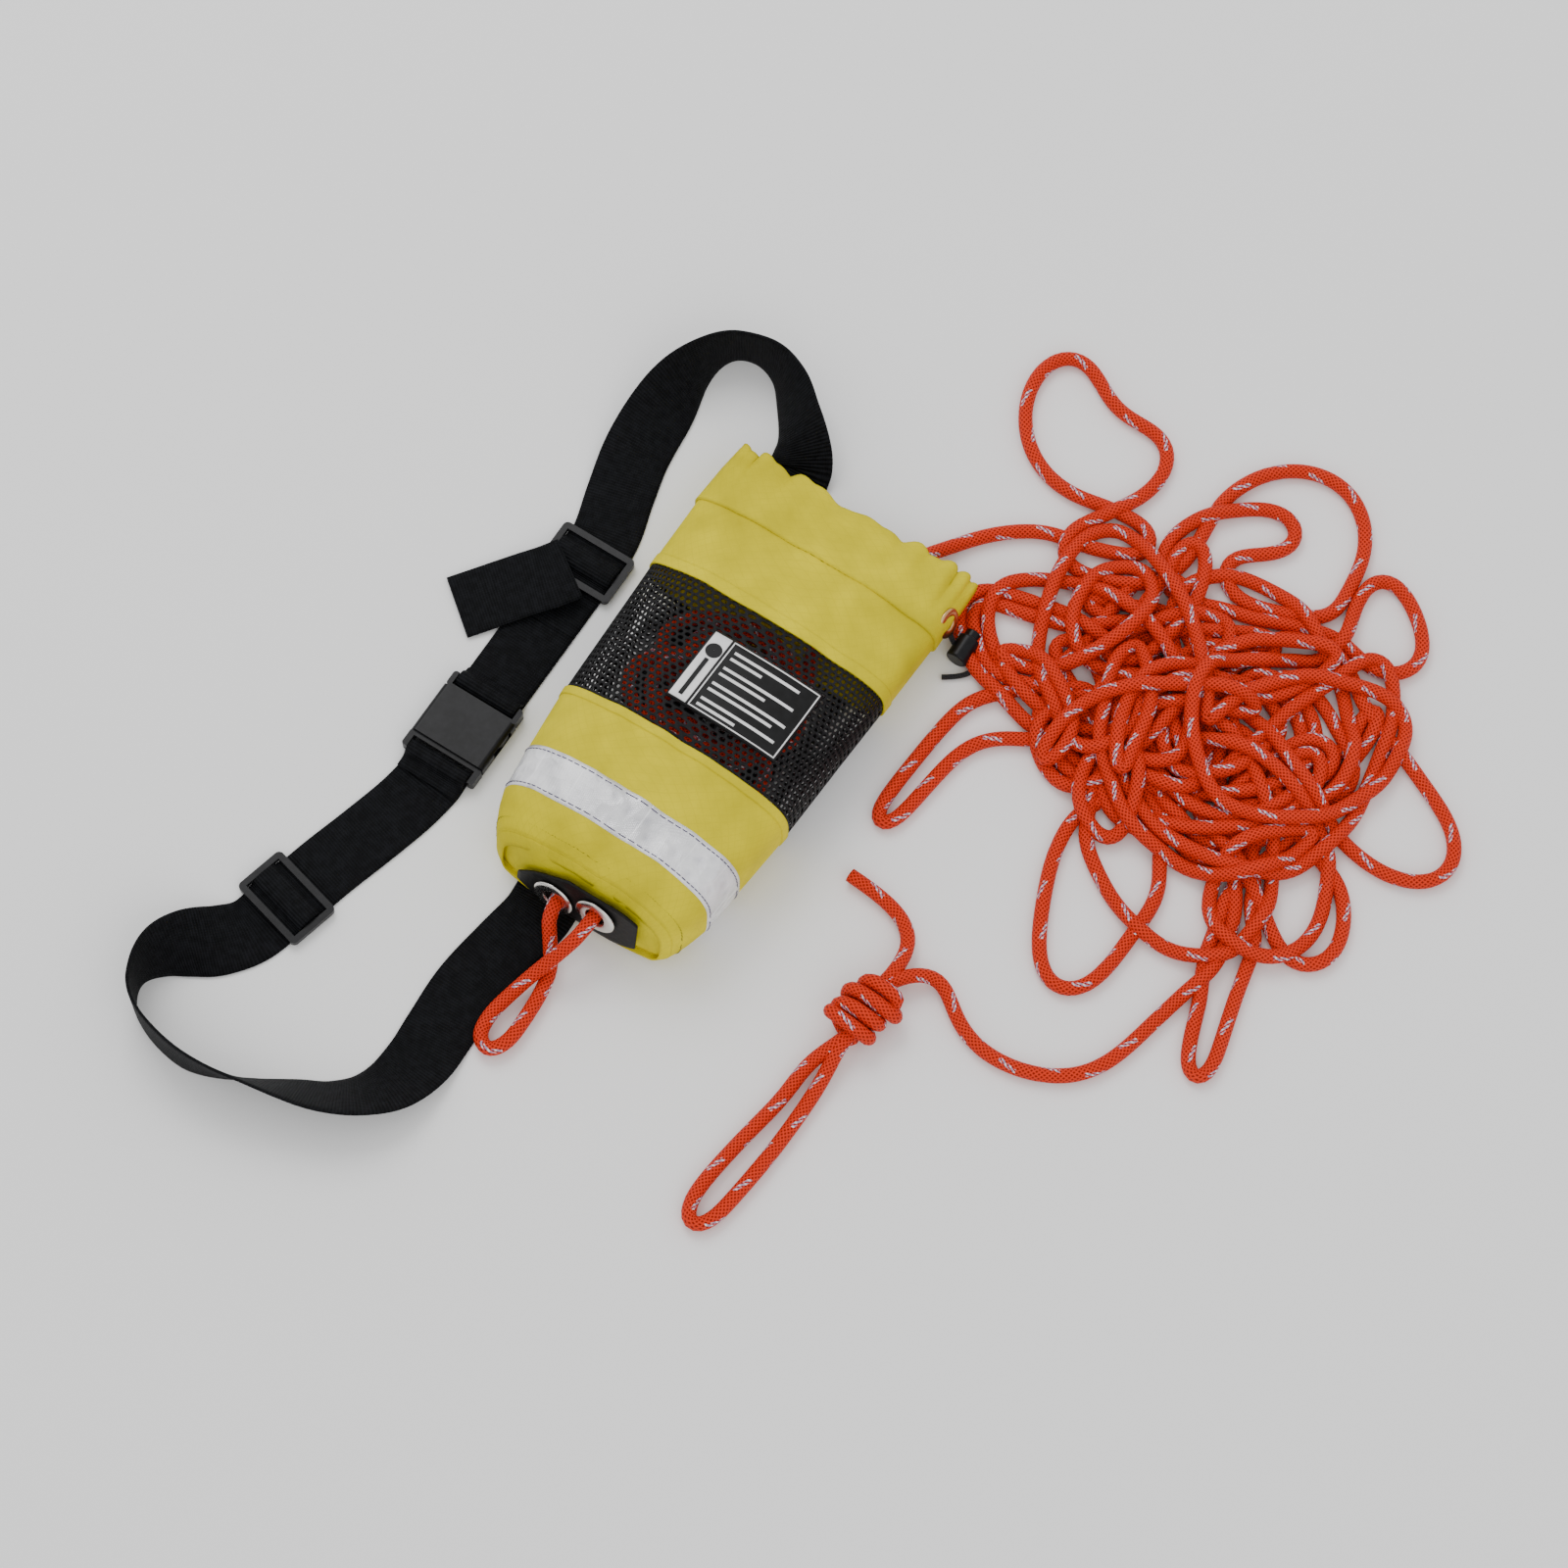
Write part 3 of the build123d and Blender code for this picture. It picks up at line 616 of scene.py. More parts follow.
def settle(points, rounds, held, floor_z=0.0042):
    """Lets the line fall on itself and the floor: contact, stretch and a light pull to its own plan."""
    points = points.copy()
    plan = points[:, :2].copy()
    rest = np.linalg.norm(np.diff(points, axis=0), axis=1).mean()
    count = len(points)
    free = (~held).astype(float)[:, None]
    reach = ROPE * 0.98
    apart = 3
    fall, deepest_push, share_moved, bend_share, plan_share = 0.00055, 0.003, 0.45, 0.25, 0.03
    for round_number in range(rounds):
        points[:, 2] -= fall * free[:, 0]
        if round_number % 5 == 0:
            pairs_a, pairs_b = [], []
            for start in range(0, count, 400):
                block = points[start:start + 400]
                gap = ((block[:, None, :] - points[None, :, :]) ** 2).sum(axis=2)
                rows, columns = np.nonzero(gap < (1.7 * ROPE) ** 2)
                rows = rows + start
                keep = columns > rows + apart
                pairs_a.append(rows[keep])
                pairs_b.append(columns[keep])
            first, second = np.concatenate(pairs_a), np.concatenate(pairs_b)
        for _ in range(2):
            delta = points[first] - points[second]
            distance = np.linalg.norm(delta, axis=1)
            distance[distance < 1e-6] = 1e-6
            push = np.clip(reach - distance, 0, deepest_push)[:, None] * delta
            push = push / distance[:, None] * share_moved
            push[:, 2] *= 1.4
            total = np.zeros_like(points)
            hits = np.ones(count)
            np.add.at(total, first, push)
            np.add.at(total, second, -push)
            touching = push[:, 2] != 0
            np.add.at(hits, first[touching], 0.5)
            np.add.at(hits, second[touching], 0.5)
            points += total / hits[:, None] * 1.5 * free
            step = np.diff(points, axis=0)
            length = np.linalg.norm(step, axis=1)[:, None]
            fix = step * (1 - rest / np.maximum(length, 1e-6)) * share_moved
            points[:-1] += fix * free[:-1]
            points[1:] -= fix * free[1:]
        bend = np.zeros_like(points)
        bend[1:-1] = 0.5 * (points[:-2] + points[2:]) - points[1:-1]
        points += bend * bend_share * free
        points[:, :2] += (plan - points[:, :2]) * plan_share * free
        points[:, 2] = np.maximum(points[:, 2], np.where(held, -1.0, floor_z))
    return points


def build_throw_rope(materials):
    """The whole line: packed turns, mouth, loops, heap, knot, hand loop, knot again and cut tail."""
    rng = np.random.default_rng(7)
    centre = (0.273, 0.190)
    spread = np.array((0.098, 0.068))
    inside = packed_turns()
    loops = list(MOUTH_ROUTE) + [(.182, .262, .010)] + list(HEART_ROUTE) + list(UPPER_RIGHT_ROUTE)
    loops += list(INNER_ROUTE) + list(RIGHT_ROUTE)
    heap = heap_turns(rng, 6, centre, spread, 0.11) + list(BY_MOUTH_ROUTE)
    heap += heap_turns(rng, 6, centre, spread, 0.09)
    heap += list(LOWER_RIGHT_ROUTE) + heap_turns(rng, 5, centre, spread, 0.08) + list(FOLDS_ROUTE)
    heap += heap_turns(rng, 6, centre, spread, 0.06) + list(CORNER_ROUTE)
    heap += heap_turns(rng, 5, centre, spread, 0.05) + list(LOW_LEFT_ROUTE)
    heap += heap_turns(rng, 4, centre, spread, 0.03) + list(BIGHT_ROUTE)
    heap += heap_turns(rng, 2, centre, spread * 0.6, 0.02)
    loose = even_spacing(nurbs_points(loops + heap + list(KNOT_RUN_ROUTE)), SETTLING_STEP)
    held = np.zeros(len(loose), bool)
    held[:16] = True
    held[-6:] = True
    loose = settle(loose, 240, held)
    loose = smooth_line(loose, 2)
    ends = knot_strand(1.9, 0.4, False) + list(HAND_LOOP_ROUTE) + knot_strand(1.9, 0.4 + math.pi, True)
    tail = nurbs_points([tuple(loose[-1])] + ends + list(TAIL_END_ROUTE))
    stowed = nurbs_points(inside + [MOUTH_ROUTE[0]])
    line = even_spacing(np.concatenate([stowed[:-1], loose, tail[1:]]), ROPE_STEP)
    line = smooth_line(line, 5)
    rope = tube_object("throw_rope", line, ROPE, materials["rope"])
    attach(rope, "root")
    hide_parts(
        "packed_rope", "rope_mouth_run", "rope_heart_loop", "rope_upper_right_loop", "rope_inner_loop",
        "rope_right_loop", "rope_lower_right_loop", "rope_corner_loop", "rope_low_left_loop", "rope_bight",
        "rope_heap", "rope_knot_run", "rope_knot", "rope_hand_loop", "rope_tail",
    )
    tuple(line[0])
    [tuple(p) for p in line]


def build_small_cords(materials):
    short_cords = (
        ("base_loop_rope", "base_loop", "rope", BASE_LOOP_ROUTE, ROPE, 16, 0.002, "object"),
        ("drawcord_tail", "drawcord_end", "drawcord", DRAWCORD_ROUTE, CORD, 12, 0.001, "bare"),
    )
    for name, node, kind, route, diameter, sides, step, far_end in short_cords:
        line = even_spacing(nurbs_points(route), step)
        cord = tube_object(name, line, diameter, materials[kind], sides)
        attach(cord, "root")
        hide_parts(node)


# ---------------------------------------------------------------- bag

# Distance from the base, width, thickness, and how square the section's shoulders are
BAG_SECTIONS = (
    (0.003, 0.098, 0.042), (0.006, 0.108, 0.052), (0.011, 0.115, 0.059), (0.018, 0.121, 0.064),
    (0.026, 0.126, 0.066), (0.049, 0.131, 0.066), (0.092, 0.139, 0.062), (0.140, 0.143, 0.055),
    (0.182, 0.147, 0.048), (0.229, 0.150, 0.038), (0.255, 0.149, 0.031), (0.272, 0.147, 0.026),
)
SEAM_LOW, SEAM_HIGH, HEM_LINE, MOUTH_LINE = 0.092, 0.182, 0.229, 0.272
TAPE_LOW, TAPE_HIGH = 0.026, 0.0525
PERIMETER = 0.345
LABEL_X, LABEL_Y = 0.066, 0.064


def section_at(distance):
    places = [s[0] for s in BAG_SECTIONS]
    width = float(np.interp(distance, places, [s[1] for s in BAG_SECTIONS]))
    thick = float(np.interp(distance, places, [s[2] for s in BAG_SECTIONS]))
    return width, thick


def bag_point(u, distance, lift=0.0):
    """A point of the bag's skin: u is turns round from the right side, over the top, to the left."""
    width, thick = section_at(distance)
    angle = u * TAU
    c, s = math.cos(angle), math.sin(angle)
    power = 0.72 if s >= 0 else 0.45
    across = math.copysign(abs(c) ** 0.80, c)
    high = math.copysign(abs(s) ** power, s)
    top = max(0.0, s)
    lumps = noise.noise(Vector((across * 2.6, distance * 34, high * 2.0)))
    creases = noise.noise(Vector((across * 7 + distance * 30, distance * 60, high * 5)))
    from_label = ((BAG_X + width / 2 * across - LABEL_X) / 0.050) ** 4
    from_label += ((BASE_Y + distance - LABEL_Y) / 0.038) ** 4
    swell = (0.0030 * lumps + 0.0009 * creases) * (1 - top * math.exp(-from_label))
    near_mouth = max(0.0, (distance - HEM_LINE) / (MOUTH_LINE - HEM_LINE))
    folds = math.sin(u * TAU * 17 + 2.4 * math.sin(u * 9)) + 0.5 * math.sin(u * TAU * 29 + 1.3)
    gathers = folds * 0.0021 * near_mouth ** 1.6
    radius = 1 + (swell * (0.3 + top) + gathers + lift) / (thick / 2)
    x = BAG_X + width / 2 * across * (1 + (lift + 0.4 * gathers) / (width / 2))
    middle = WEB_THICK + 0.0004 + thick / 2
    z = middle + thick / 2 * high * radius
    y = BASE_Y + distance
    near_base = max(0.0, 1 - distance / 0.075)
    y += near_base * (0.009 * (high * 0.5 + 0.5) - 0.004)
    edge = max(0.0, (distance - 0.255) / 0.017)
    y += edge * (0.0013 * folds - 0.001 - 0.004 * (1 - abs(across)))
    return Vector((x, y, max(z, WEB_THICK + 0.0002)))


def skin_uv(u, distance):
    return (u * PERIMETER, distance)


def panel(name, low, high, material, lift=0.0, thickness=0.0011, rows=None, around=240):
    rows = rows or max(3, int((high - low) / 0.0018))
    us = [i / around for i in range(around)]
    vs = [low + (high - low) * j / (rows - 1) for j in range(rows)]
    obj = grid_object(name, lambda u, v: bag_point(u, v, lift), us, vs, material, True, skin_uv)
    thicken(obj, thickness)
    return obj


def stitches(name, distance, material, lift=0.0009, length=0.0030, gap=0.0010, radius=0.00042, wander=0.0):
    """A run of lock stitches round the bag, each a short raised bead of thread."""
    verts, faces = [], []
    count = int(PERIMETER / (length + gap))
    sides = 5
    for n in range(count):
        start = n / count
        end = start + length / PERIMETER
        ring_start = len(verts)
        for k in range(4):
            u = start + (end - start) * k / 3
            place = distance + wander * math.sin(u * TAU * 3)
            point = bag_point(u, place, lift)
            ahead = (bag_point(u + 0.002, place, lift) - point).normalized()
            along = Vector((0, 1, 0))
            out = ahead.cross(along).normalized()
            thick = radius * (0.45 if k in (0, 3) else 1.0)
            dip = -0.0005 if k in (0, 3) else 0.0
            for i in range(sides):
                a = i * TAU / sides
                verts.append(point + out * (dip + thick * math.sin(a)) + along * thick * math.cos(a))
        for k in range(3):
            for i in range(sides):
                j = (i + 1) % sides
                a, b = ring_start + k * sides, ring_start + (k + 1) * sides
                faces.append((a + i, a + j, b + j, b + i))
    return mesh_object(name, verts, faces, material)


def mesh_window(material):
    """Knitted mesh with real holes, staggered row by row."""
    columns, rows = 92, 26
    low, high = SEAM_LOW - 0.001, SEAM_HIGH + 0.001
    verts, faces = [], []
    index = {}

    def vertex(key, u, v):
        if key not in index:
            index[key] = len(verts)
            verts.append(bag_point(u % 1.0, low + (high - low) * v / rows, 0.0001))
        return index[key]

    ring = ((0, 0), (1, 0), (2, 0), (2, 1), (2, 2), (1, 2), (0, 2), (0, 1))
    for j in range(rows):
        for i in range(columns):
            outer, inner = [], []
            for a, b in ring:
                grid_u, grid_v = 2 * i + a, 2 * j + b
                slide = 0.5 * (grid_v / 2)
                key = ("o", grid_u % (2 * columns), grid_v)
                outer.append(vertex(key, (grid_u / 2 + slide) / columns, grid_v / 2))
                hole_u = i + 0.5 + (a - 1) * (0.35 if b == 1 or a == 1 else 0.27) + 0.5 * (j + 0.5)
                hole_v = j + 0.5 + (b - 1) * (0.36 if a == 1 or b == 1 else 0.27)
                inner.append(vertex(("i", i, j, a, b), hole_u / columns, hole_v))
            for k in range(8):
                n = (k + 1) % 8
                faces.append((outer[k], outer[n], inner[n], inner[k]))
    obj = mesh_object("mesh_window", verts, faces, material)
    thicken(obj, 0.0006)
    return obj


def base_disc(material):
    """Closed end of the bag, domed a little and leaning back."""
    around, rings = 96, 14
    us = [i / around for i in range(around)]
    centre = sum((bag_point(u, 0.006) for u in us), Vector()) / around

    def point_at(u, share):
        rim = bag_point(u, 0.006)
        point = centre.lerp(rim, share)
        ripple = 0.0012 * noise.noise(point * 55)
        point.y -= 0.0045 * (1 - share ** 2) + ripple
        return point

    vs = [0.02 + 0.98 * j / rings for j in range(rings + 1)]
    obj = grid_object("base_disc", point_at, us, vs, material, True, lambda u, v: (u * 0.1, v * 0.05))
    thicken(obj, 0.001, 1.0)
    return obj


def base_lean():
    """The foot of the base, and how far the base leans back for each metre it rises."""
    lip, foot = bag_point(0.25, 0.006), bag_point(0.75, 0.006)
    return foot, (lip.y - foot.y) / (lip.z - foot.z)


def base_patch(material):
    """Leatherette reinforcement, curved with the base, a raised edge all round."""
    foot, lean = base_lean()

    def point_at(u, v):
        x = BAG_X + (u - 0.5) * 0.074
        z = 0.012 + v * (0.017 + 0.017 * min(1.0, 2.4 * u))
        bow = 1 - (2 * u - 1) ** 2
        corner = max(0, abs(2 * u - 1) - 0.55) / 0.45
        z += corner ** 2 * 0.010 * (0.5 - v)
        y = foot.y + lean * (z - foot.z) - 0.0062 - 0.0010 * bow
        return Vector((x, y, z))

    us = [i / 36 for i in range(37)]
    vs = [j / 18 for j in range(19)]
    obj = grid_object("base_patch_piece", point_at, us, vs, material)
    thicken(obj, 0.0012, 1.0)
    return obj


def eyelet(name, centre, axis, bore, flange, material, depth=0.006):
    """A set eyelet: rolled face, rounded lip and barrel, turned in one piece."""
    mid = (bore + flange) / 2
    profile = [(bore, -depth), (bore, 0.0006)]
    for i in range(9):
        a = math.pi * (1 - i / 8)
        profile.append((mid + (flange - bore) / 2 * math.cos(a), 0.0006 + 0.0011 * math.sin(a)))
    profile += [(flange, 0.0), (bore + 0.0008, 0.0), (bore + 0.0008, -depth)]
    return lathe(name, profile, centre, axis, material)


def label(materials):
    """Black card under a clear cover, with a pale frame, plain bars and a round mark."""
    half_w, half_h = 0.034, 0.024

    def on_bag(x, y, lift):
        distance = y - BASE_Y
        width = section_at(distance)[0]
        near = min(0.999, max(-0.999, (x - BAG_X) / (width / 2)))
        c = math.copysign(abs(near) ** 1.25, near)
        u = math.acos(c) / TAU
        point = bag_point(u, distance, 0.0)
        return Vector((x, y, point.z + lift))

    def patch(name, x0, x1, y0, y1, lift, material, thickness):
        us = [x0 + (x1 - x0) * i / 20 for i in range(21)]
        vs = [y0 + (y1 - y0) * j / 14 for j in range(15)]
        obj = grid_object(name, lambda x, y: on_bag(x, y, lift), us, vs, material)
        thicken(obj, thickness)
        return obj

    left, right = LABEL_X - half_w, LABEL_X + half_w
    low, high = LABEL_Y - half_h, LABEL_Y + half_h
    card = patch("label_card", left, right, low, high, 0.0020, materials["card"], 0.0008)
    strip = patch("label_strip", left + 0.0010, left + 0.0115, low + 0.0012, high - 0.0012, 0.0022,
                  materials["white"], 0.0002)
    pieces = [card, strip]
    frame_left, frame_right = left + 0.0130, right - 0.0012
    frame_low, frame_high = low + 0.0012, high - 0.0012
    line = 0.0007
    outline = (
        (frame_left, frame_right, frame_high - line, frame_high),
        (frame_left, frame_right, frame_low, frame_low + line),
        (frame_left, frame_left + line, frame_low, frame_high),
        (frame_right - line, frame_right, frame_low, frame_high),
    )
    for number, edges in enumerate(outline):
        pieces.append(patch(f"label_frame_{number}", *edges, 0.0023, materials["white"], 0.0002))
    bars = (
        (0.0165, 0.057, 0.0060), (0.0165, 0.036, 0.0102), (0.0165, 0.060, 0.0168), (0.0165, 0.045, 0.0210),
        (0.0165, 0.062, 0.0276), (0.0165, 0.056, 0.0318), (0.0165, 0.062, 0.0384), (0.0165, 0.040, 0.0426),
    )
    for number, (start, stop, down) in enumerate(bars):
        top = high - down
        pieces.append(patch(f"label_bar_{number}", left + start, left + stop, top - 0.0017, top, 0.0023,
                            materials["white"], 0.0002))
    pieces.append(patch("label_strip_bar", left + 0.0052, left + 0.0076, low + 0.004, low + 0.030, 0.0026,
                        materials["card"], 0.0002))
    icon_x, icon_y = left + 0.0066, LABEL_Y + 0.012

    def icon_at(u, share):
        radius = 0.0046 * share
        return on_bag(icon_x + radius * math.cos(u * TAU), icon_y + radius * math.sin(u * TAU), 0.0024)

    icon = grid_object("label_icon", icon_at, [i / 32 for i in range(32)], [0.02, 0.4, 0.7, 1.0],
                       materials["card"], True)
    pieces.append(icon)
    for piece in pieces:
        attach(piece, "root")
    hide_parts("safety_label")


def build_bag(materials):
    yellow, thread, olive = materials["yellow"], materials["thread"], materials["olive_thread"]
    pieces = {
        "lower_cloth": (panel("lower_cloth", 0.006, SEAM_LOW, yellow), ["lower_panel"]),
        "upper_cloth": (panel("upper_cloth", SEAM_HIGH, HEM_LINE + 0.001, yellow), ["upper_panel"]),
        "hem_cloth": (panel("hem_cloth", HEM_LINE, MOUTH_LINE, yellow, 0.0004, 0.0022), ["mouth_hem"]),
        "mesh_window": (mesh_window(materials["mesh"]), ["mesh_panel"]),
        "base_disc": (base_disc(yellow), ["base_panel"]),
        "base_patch_piece": (base_patch(materials["leather"]), ["base_patch"]),
    }
    for name, (piece, nodes) in pieces.items():
        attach(piece, "root")
        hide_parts(*nodes)
    tape = panel("reflective_band", TAPE_LOW, TAPE_HIGH, materials["reflective"], 0.0007, 0.0006)
    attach(tape, "root")
    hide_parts("reflective_tape")
    binding_low = panel("mesh_binding_low", SEAM_LOW - 0.004, SEAM_LOW + 0.001, yellow, 0.0005, 0.0012, 6)
    binding_high = panel("mesh_binding_high", SEAM_HIGH - 0.001, SEAM_HIGH + 0.006, yellow, 0.0005, 0.0012, 6)
    base_lip = panel("base_seam_lip", 0.003, 0.0065, yellow, 0.0003, 0.0010, 5)
    rows = [
        stitches("hem_stitches", HEM_LINE + 0.001, olive, wander=0.0006),
        stitches("mesh_stitches_high", SEAM_HIGH + 0.004, olive),
        stitches("mesh_stitches_low", SEAM_LOW - 0.0025, olive),
        stitches("tape_stitches_low", TAPE_LOW + 0.0022, thread, 0.0011),
        stitches("tape_stitches_high", TAPE_HIGH - 0.0022, thread, 0.0011),
        stitches("base_stitches", 0.0105, olive),
    ]
    for piece in [binding_low, binding_high, base_lip] + rows:
        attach(piece, "root")
    label(materials)


def build_drawcord_ring(materials):
    """The drawcord in its channel, round the inside of the mouth."""
    points = [bag_point(i / 90, 0.262, -0.0042) for i in range(88)]
    line = np.array([tuple(p) for p in points])
    ring = tube_object("drawcord_ring", line, CORD, materials["drawcord"], 8)
    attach(ring, "root")
    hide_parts("drawcord_channel_run")


def build_lock_spring(materials):
    """The cord lock's coil, built at its full length; the real one closes up as the plunger is pressed in."""
    low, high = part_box("cord_lock_spring")
    middle = (low + high) / 2
    wire, reach, turns = 0.0005, 0.0026, 2.5
    start, rise = low.y + wire / 2, high.y - low.y - wire
    points = []
    for i in range(61):
        angle = turns * TAU * i / 60
        x, z = middle.x + reach * math.cos(angle), middle.z + reach * math.sin(angle)
        points.append((x, start + rise * i / 60, z))
    spring = tube_object("lock_coil", np.array(points), wire, materials["steel"], 8)
    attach(spring, "root")
    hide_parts("cord_lock_spring")
    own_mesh(spring)


def build_eyelets(materials):
    foot, lean = base_lean()
    for number, (x, z) in enumerate(((0.037, 0.024), (0.063, 0.031)), start=1):
        y = foot.y + lean * (z - foot.z) - 0.0092
        axis = Vector((0, -1, lean)).normalized()
        ring = eyelet(f"nickel_eyelet_{number}", (x, y, z), axis, 0.0054, 0.0120, materials["nickel"])
        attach(ring, "root")
        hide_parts(f"base_eyelet_{number}")
    low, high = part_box("mouth_eyelet")
    middle = (low + high) / 2
    face = (high.x - 0.0004, middle.y, middle.z + 0.003)
    ring = eyelet("brass_eyelet", face, (0.94, 0.0, 0.34), 0.0036, 0.0088, materials["brass"], 0.004)
    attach(ring, "root")
    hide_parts("mouth_eyelet")


# ---------------------------------------------------------------- belt

# Centre X, centre Y, tilt in degrees (right-hand edge up when positive)
UPPER_LOOP = (
    (.029, -.0685, 0), (.017, .069, 0), (.007, .180, 0), (.005, .206, 0), (.004, .213, 14),
    (-.001, .222, 38), (-.008, .231, 54), (-.021, .244, 64), (-.036, .253, 80), (-.052, .254, 92),
    (-.065, .247, 90), (-.073, .229, 70), (-.077, .201, 28), (-.076, .173, 10), (-.070, .147, 2),
    (-.0625, .120, 0), (-.062, .095, 0), (-.062, .075, 0), (-.062, .060, 0),
)
PLUG_STRETCH = ((-.062, .060, 0), (-.062, .043, 0), (-.062, .028, 0), (-.062, .011, 0))
LOWER_LOOP = (
    (-.062, -.0446, 0), (-.062, -.052, 0), (-.065, -.070, 0), (-.072, -.096, 0), (-.079, -.120, 0),
    (-.086, -.148, 0), (-.0915, -.170, 0), (-.101, -.185, 12), (-.113, -.199, 38), (-.121, -.212, 64),
    (-.124, -.226, 86), (-.119, -.238, 90), (-.108, -.246, 90), (-.093, -.251, 90), (-.076, -.253, 88),
    (-.058, -.250, 80), (-.038, -.243, 68), (-.018, -.235, 55), (-.002, -.228, 48), (.012, -.217, 38),
    (.021, -.202, 22), (.024, -.183, 7), (.023, -.162, 0), (.022, -.135, 0), (.026, -.105, 0),
    (.0295, -.084, 0), (.0292, -.0705, 0),
)
TAIL_STATIONS = (
    (-.066, .092, .0085), (-.073, .082, .0078), (-.0805, .0735, .0062), (-.089, .0635, .0042),
    (-.0975, .053, .0027), (-.1065, .0415, .0017),
)


def catmull(table, per_span):
    """Smooth stations through given ones."""
    table = np.array(table, float)
    padded = np.vstack([2 * table[0] - table[1], table, 2 * table[-1] - table[-2]])
    rows = []
    for i in range(1, len(padded) - 2):
        a, b, c, d = padded[i - 1:i + 3]
        for k in range(per_span):
            t = k / per_span
            rows.append(0.5 * (2 * b + (c - a) * t + (2 * a - 5 * b + 4 * c - d) * t * t
                               + (3 * b - 3 * c + d - a) * t ** 3))
    rows.append(padded[-2])
    return np.array(rows)


def web_section():
    """Half-width and half-thickness shares round the webbing, its edges rounded."""
    top = [(x / 6, 1.0) for x in range(-5, 6)]
    right = [(0.985, 0.75), (1.0, 0.0), (0.985, -0.75)]
    bottom = [(x / 6, -1.0) for x in range(5, -6, -1)]
    left = [(-0.985, -0.75), (-1.0, 0.0), (-0.985, 0.75)]
    return top + right + bottom + left


def ribbon_object(name, frames, material, width=WEB_WIDTH, thick=WEB_THICK):
    """Webbing from frames of (centre, across, normal); UV is metres across and along."""
    section = web_section()
    verts, faces, uvs = [], [], []
    along = 0.0
    places = []
    for index, (centre, across, normal) in enumerate(frames):
        if index:
            along += (centre - frames[index - 1][0]).length
        places.append(along)
        for a, b in section:
            verts.append(centre + across * (a * width / 2) + normal * (b * thick / 2))
    count = len(section)
    for j in range(len(frames) - 1):
        for i in range(count):
            k = (i + 1) % count
            faces.append((j * count + i, (j + 1) * count + i, (j + 1) * count + k, j * count + k))
            ua, ub = section[i][0] * width / 2, section[k][0] * width / 2
            uvs += [(ua, places[j]), (ua, places[j + 1]), (ub, places[j + 1]), (ub, places[j])]
    for ring, flip in ((0, False), (len(frames) - 1, True)):
        loop = [ring * count + i for i in range(count)]
        faces.append(tuple(loop[::-1] if flip else loop))
        uvs += [(0.0, places[ring])] * count
    return mesh_object(name, verts, faces, material, uvs)


def tilted_frames(stations, per_span=8):
    rows = catmull(stations, per_span)
    frames = []
    for i, (x, y, tilt) in enumerate(rows):
        before, after = rows[max(i - 1, 0)], rows[min(i + 1, len(rows) - 1)]
        heading = Vector((after[0] - before[0], after[1] - before[1], 0)).normalized()
        right = Vector((heading.y, -heading.x, 0))
        angle = math.radians(min(max(tilt, 0.0), 95.0))
        across = right * math.cos(angle) + Vector((0, 0, math.sin(angle)))
        height = WEB_WIDTH / 2 * math.sin(angle) + WEB_THICK / 2 * abs(math.cos(angle)) + 0.00005
        frames.append((Vector((x, y, height)), across, across.cross(heading)))
    return frames


def level_frames(points, per_span=8):
    rows = catmull(points, per_span)
    frames = []
    for i, row in enumerate(rows):
        heading = Vector(rows[min(i + 1, len(rows) - 1)] - rows[max(i - 1, 0)]).normalized()
        across = Vector((heading.y, -heading.x, 0)).normalized()
        frames.append((Vector(row), across, across.cross(heading)))
    return frames


def profile_frames(profile, foot, turn=0.0):
    """Webbing that bends in the upright plane along its own length; profile holds (along, height)."""
    rows = catmull([(a, h, 0) for a, h in profile], 6)
    centre = Vector((*foot, 0))
    ahead = Vector((-math.sin(turn), math.cos(turn), 0))
    across = Vector((math.cos(turn), math.sin(turn), 0))
    frames = []
    for i, (along, height, _) in enumerate(rows):
        step = rows[min(i + 1, len(rows) - 1)] - rows[max(i - 1, 0)]
        heading = (ahead * step[0] + Vector((0, 0, step[1]))).normalized()
        frames.append((centre + ahead * along + Vector((0, 0, height)), across, across.cross(heading)))
    return frames


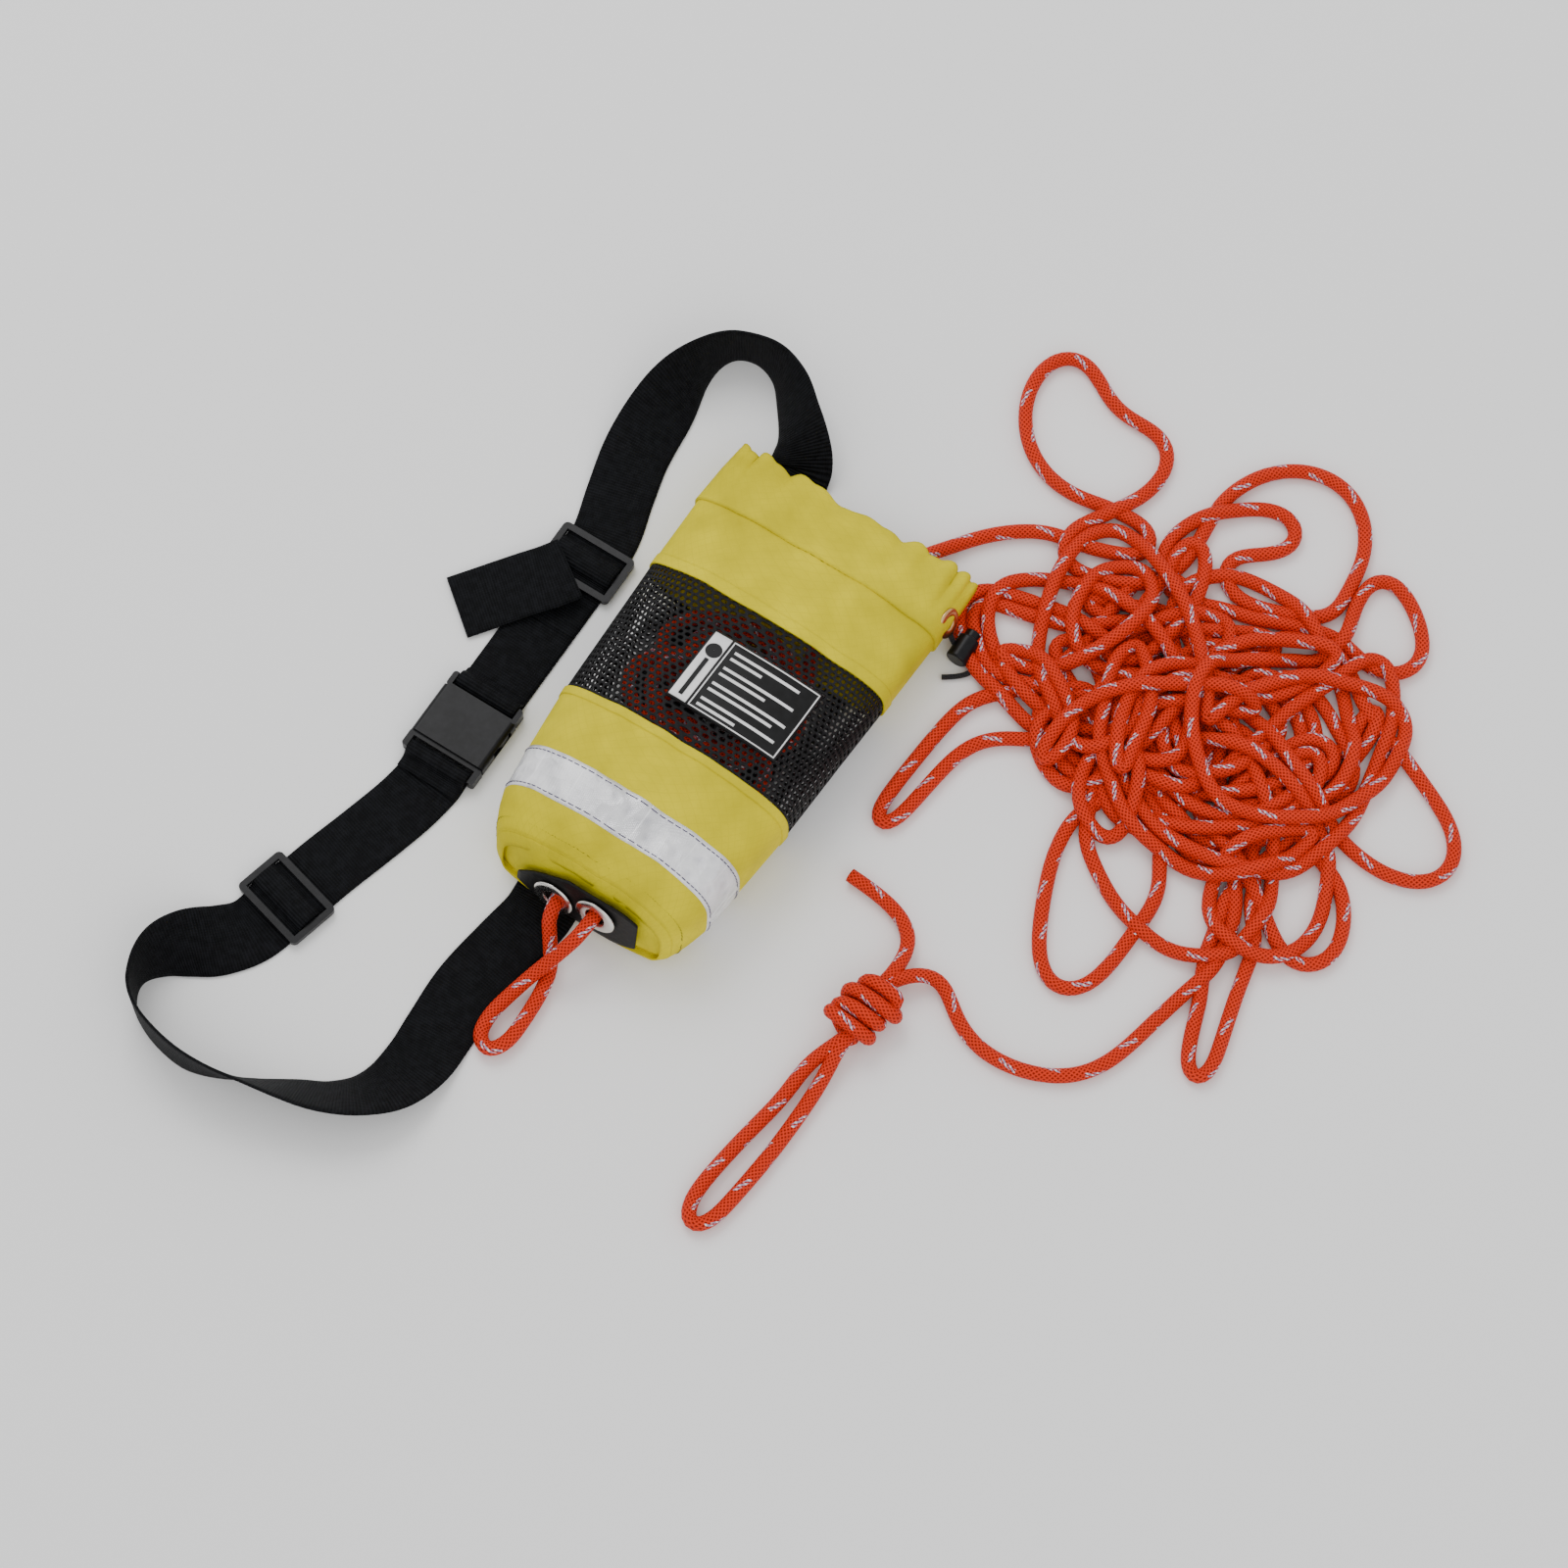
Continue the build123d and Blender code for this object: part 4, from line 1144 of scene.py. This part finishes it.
def build_belt(materials):
    web = materials["webbing"]
    upper = ribbon_object("belt_upper_webbing", tilted_frames(UPPER_LOOP), web)
    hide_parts("belt_upper_loop", "belt_back")
    lower = ribbon_object("belt_lower_webbing", tilted_frames(LOWER_LOOP), web)
    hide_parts("belt_lower_loop")
    socket_wrap = ribbon_object("belt_socket_fold", profile_frames(
        ((-0.012, 0.0030), (-0.006, 0.0042), (-0.0032, 0.0082), (0.0005, 0.0086), (0.0031, 0.0068),
         (0.0032, 0.0032), (0.0002, 0.0014), (-0.004, 0.0012), (-0.010, 0.0012)), (-0.062, -0.040)), web)
    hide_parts("belt_socket_wrap")
    for piece in (upper, lower, socket_wrap):
        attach(piece, "root")
    plug_wrap = ribbon_object("belt_plug_fold", profile_frames(
        ((0.0085, 0.0030), (0.0055, 0.0044), (0.0032, 0.0082), (-0.0005, 0.0086), (-0.0031, 0.0068),
         (-0.0032, 0.0032), (-0.0002, 0.0014), (0.004, 0.0012)), (-0.062, 0.0066)), web)
    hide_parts("belt_plug_wrap")
    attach(plug_wrap, "plug")
    stretch = ribbon_object("belt_plug_webbing", tilted_frames(PLUG_STRETCH), web)
    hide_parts("belt_plug_stretch")
    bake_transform(stretch)
    turn_profile = ((-0.0125, 0.0026), (-0.0080, 0.0032), (-0.0056, 0.0062), (-0.002, 0.0074),
                    (0.002, 0.0074), (0.0056, 0.0062), (0.0080, 0.0032), (0.0125, 0.0026))
    upper_turn = ribbon_object("slider_upper_web", profile_frames(turn_profile, (-0.062, 0.101)), web)
    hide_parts("slider_upper_turn")
    tail = ribbon_object("belt_tail_webbing", level_frames(TAIL_STATIONS), web)
    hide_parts("belt_tail")
    for piece in (upper_turn, tail):
        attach(piece, "upper_slider")
    lower_frames = profile_frames(turn_profile, (-0.086, -0.147), math.radians(-14))
    lower_turn = ribbon_object("slider_lower_web", lower_frames, web)
    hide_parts("slider_lower_turn")
    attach(lower_turn, "lower_slider")


# ---------------------------------------------------------------- carried-over CAD nodes

def dress_cad(materials):
    """Small hardware keeps its CAD shape and takes a detailed finish."""
    finish = {
        "plastic": ("buckle_socket", "buckle_plug", "latch_arm_left", "latch_arm_right", "slider_upper",
                    "slider_lower", "cord_lock_body", "cord_lock_plunger"),
        "nickel": ("base_eyelet_washer_1", "base_eyelet_washer_2"),
        "brass": ("mouth_eyelet_washer",),
        "foam": ("float_foam",),
        "rope": ("loop_stopper_knots",),
    }
    for key, names in finish.items():
        for name in names:
            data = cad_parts[name].data
            data.materials.clear()
            data.materials.append(materials[key])


materials = make_materials()
add_camera()
build_throw_rope(materials)
build_small_cords(materials)
add_stage()
build_bag(materials)
build_drawcord_ring(materials)
build_lock_spring(materials)
build_eyelets(materials)
build_belt(materials)
dress_cad(materials)
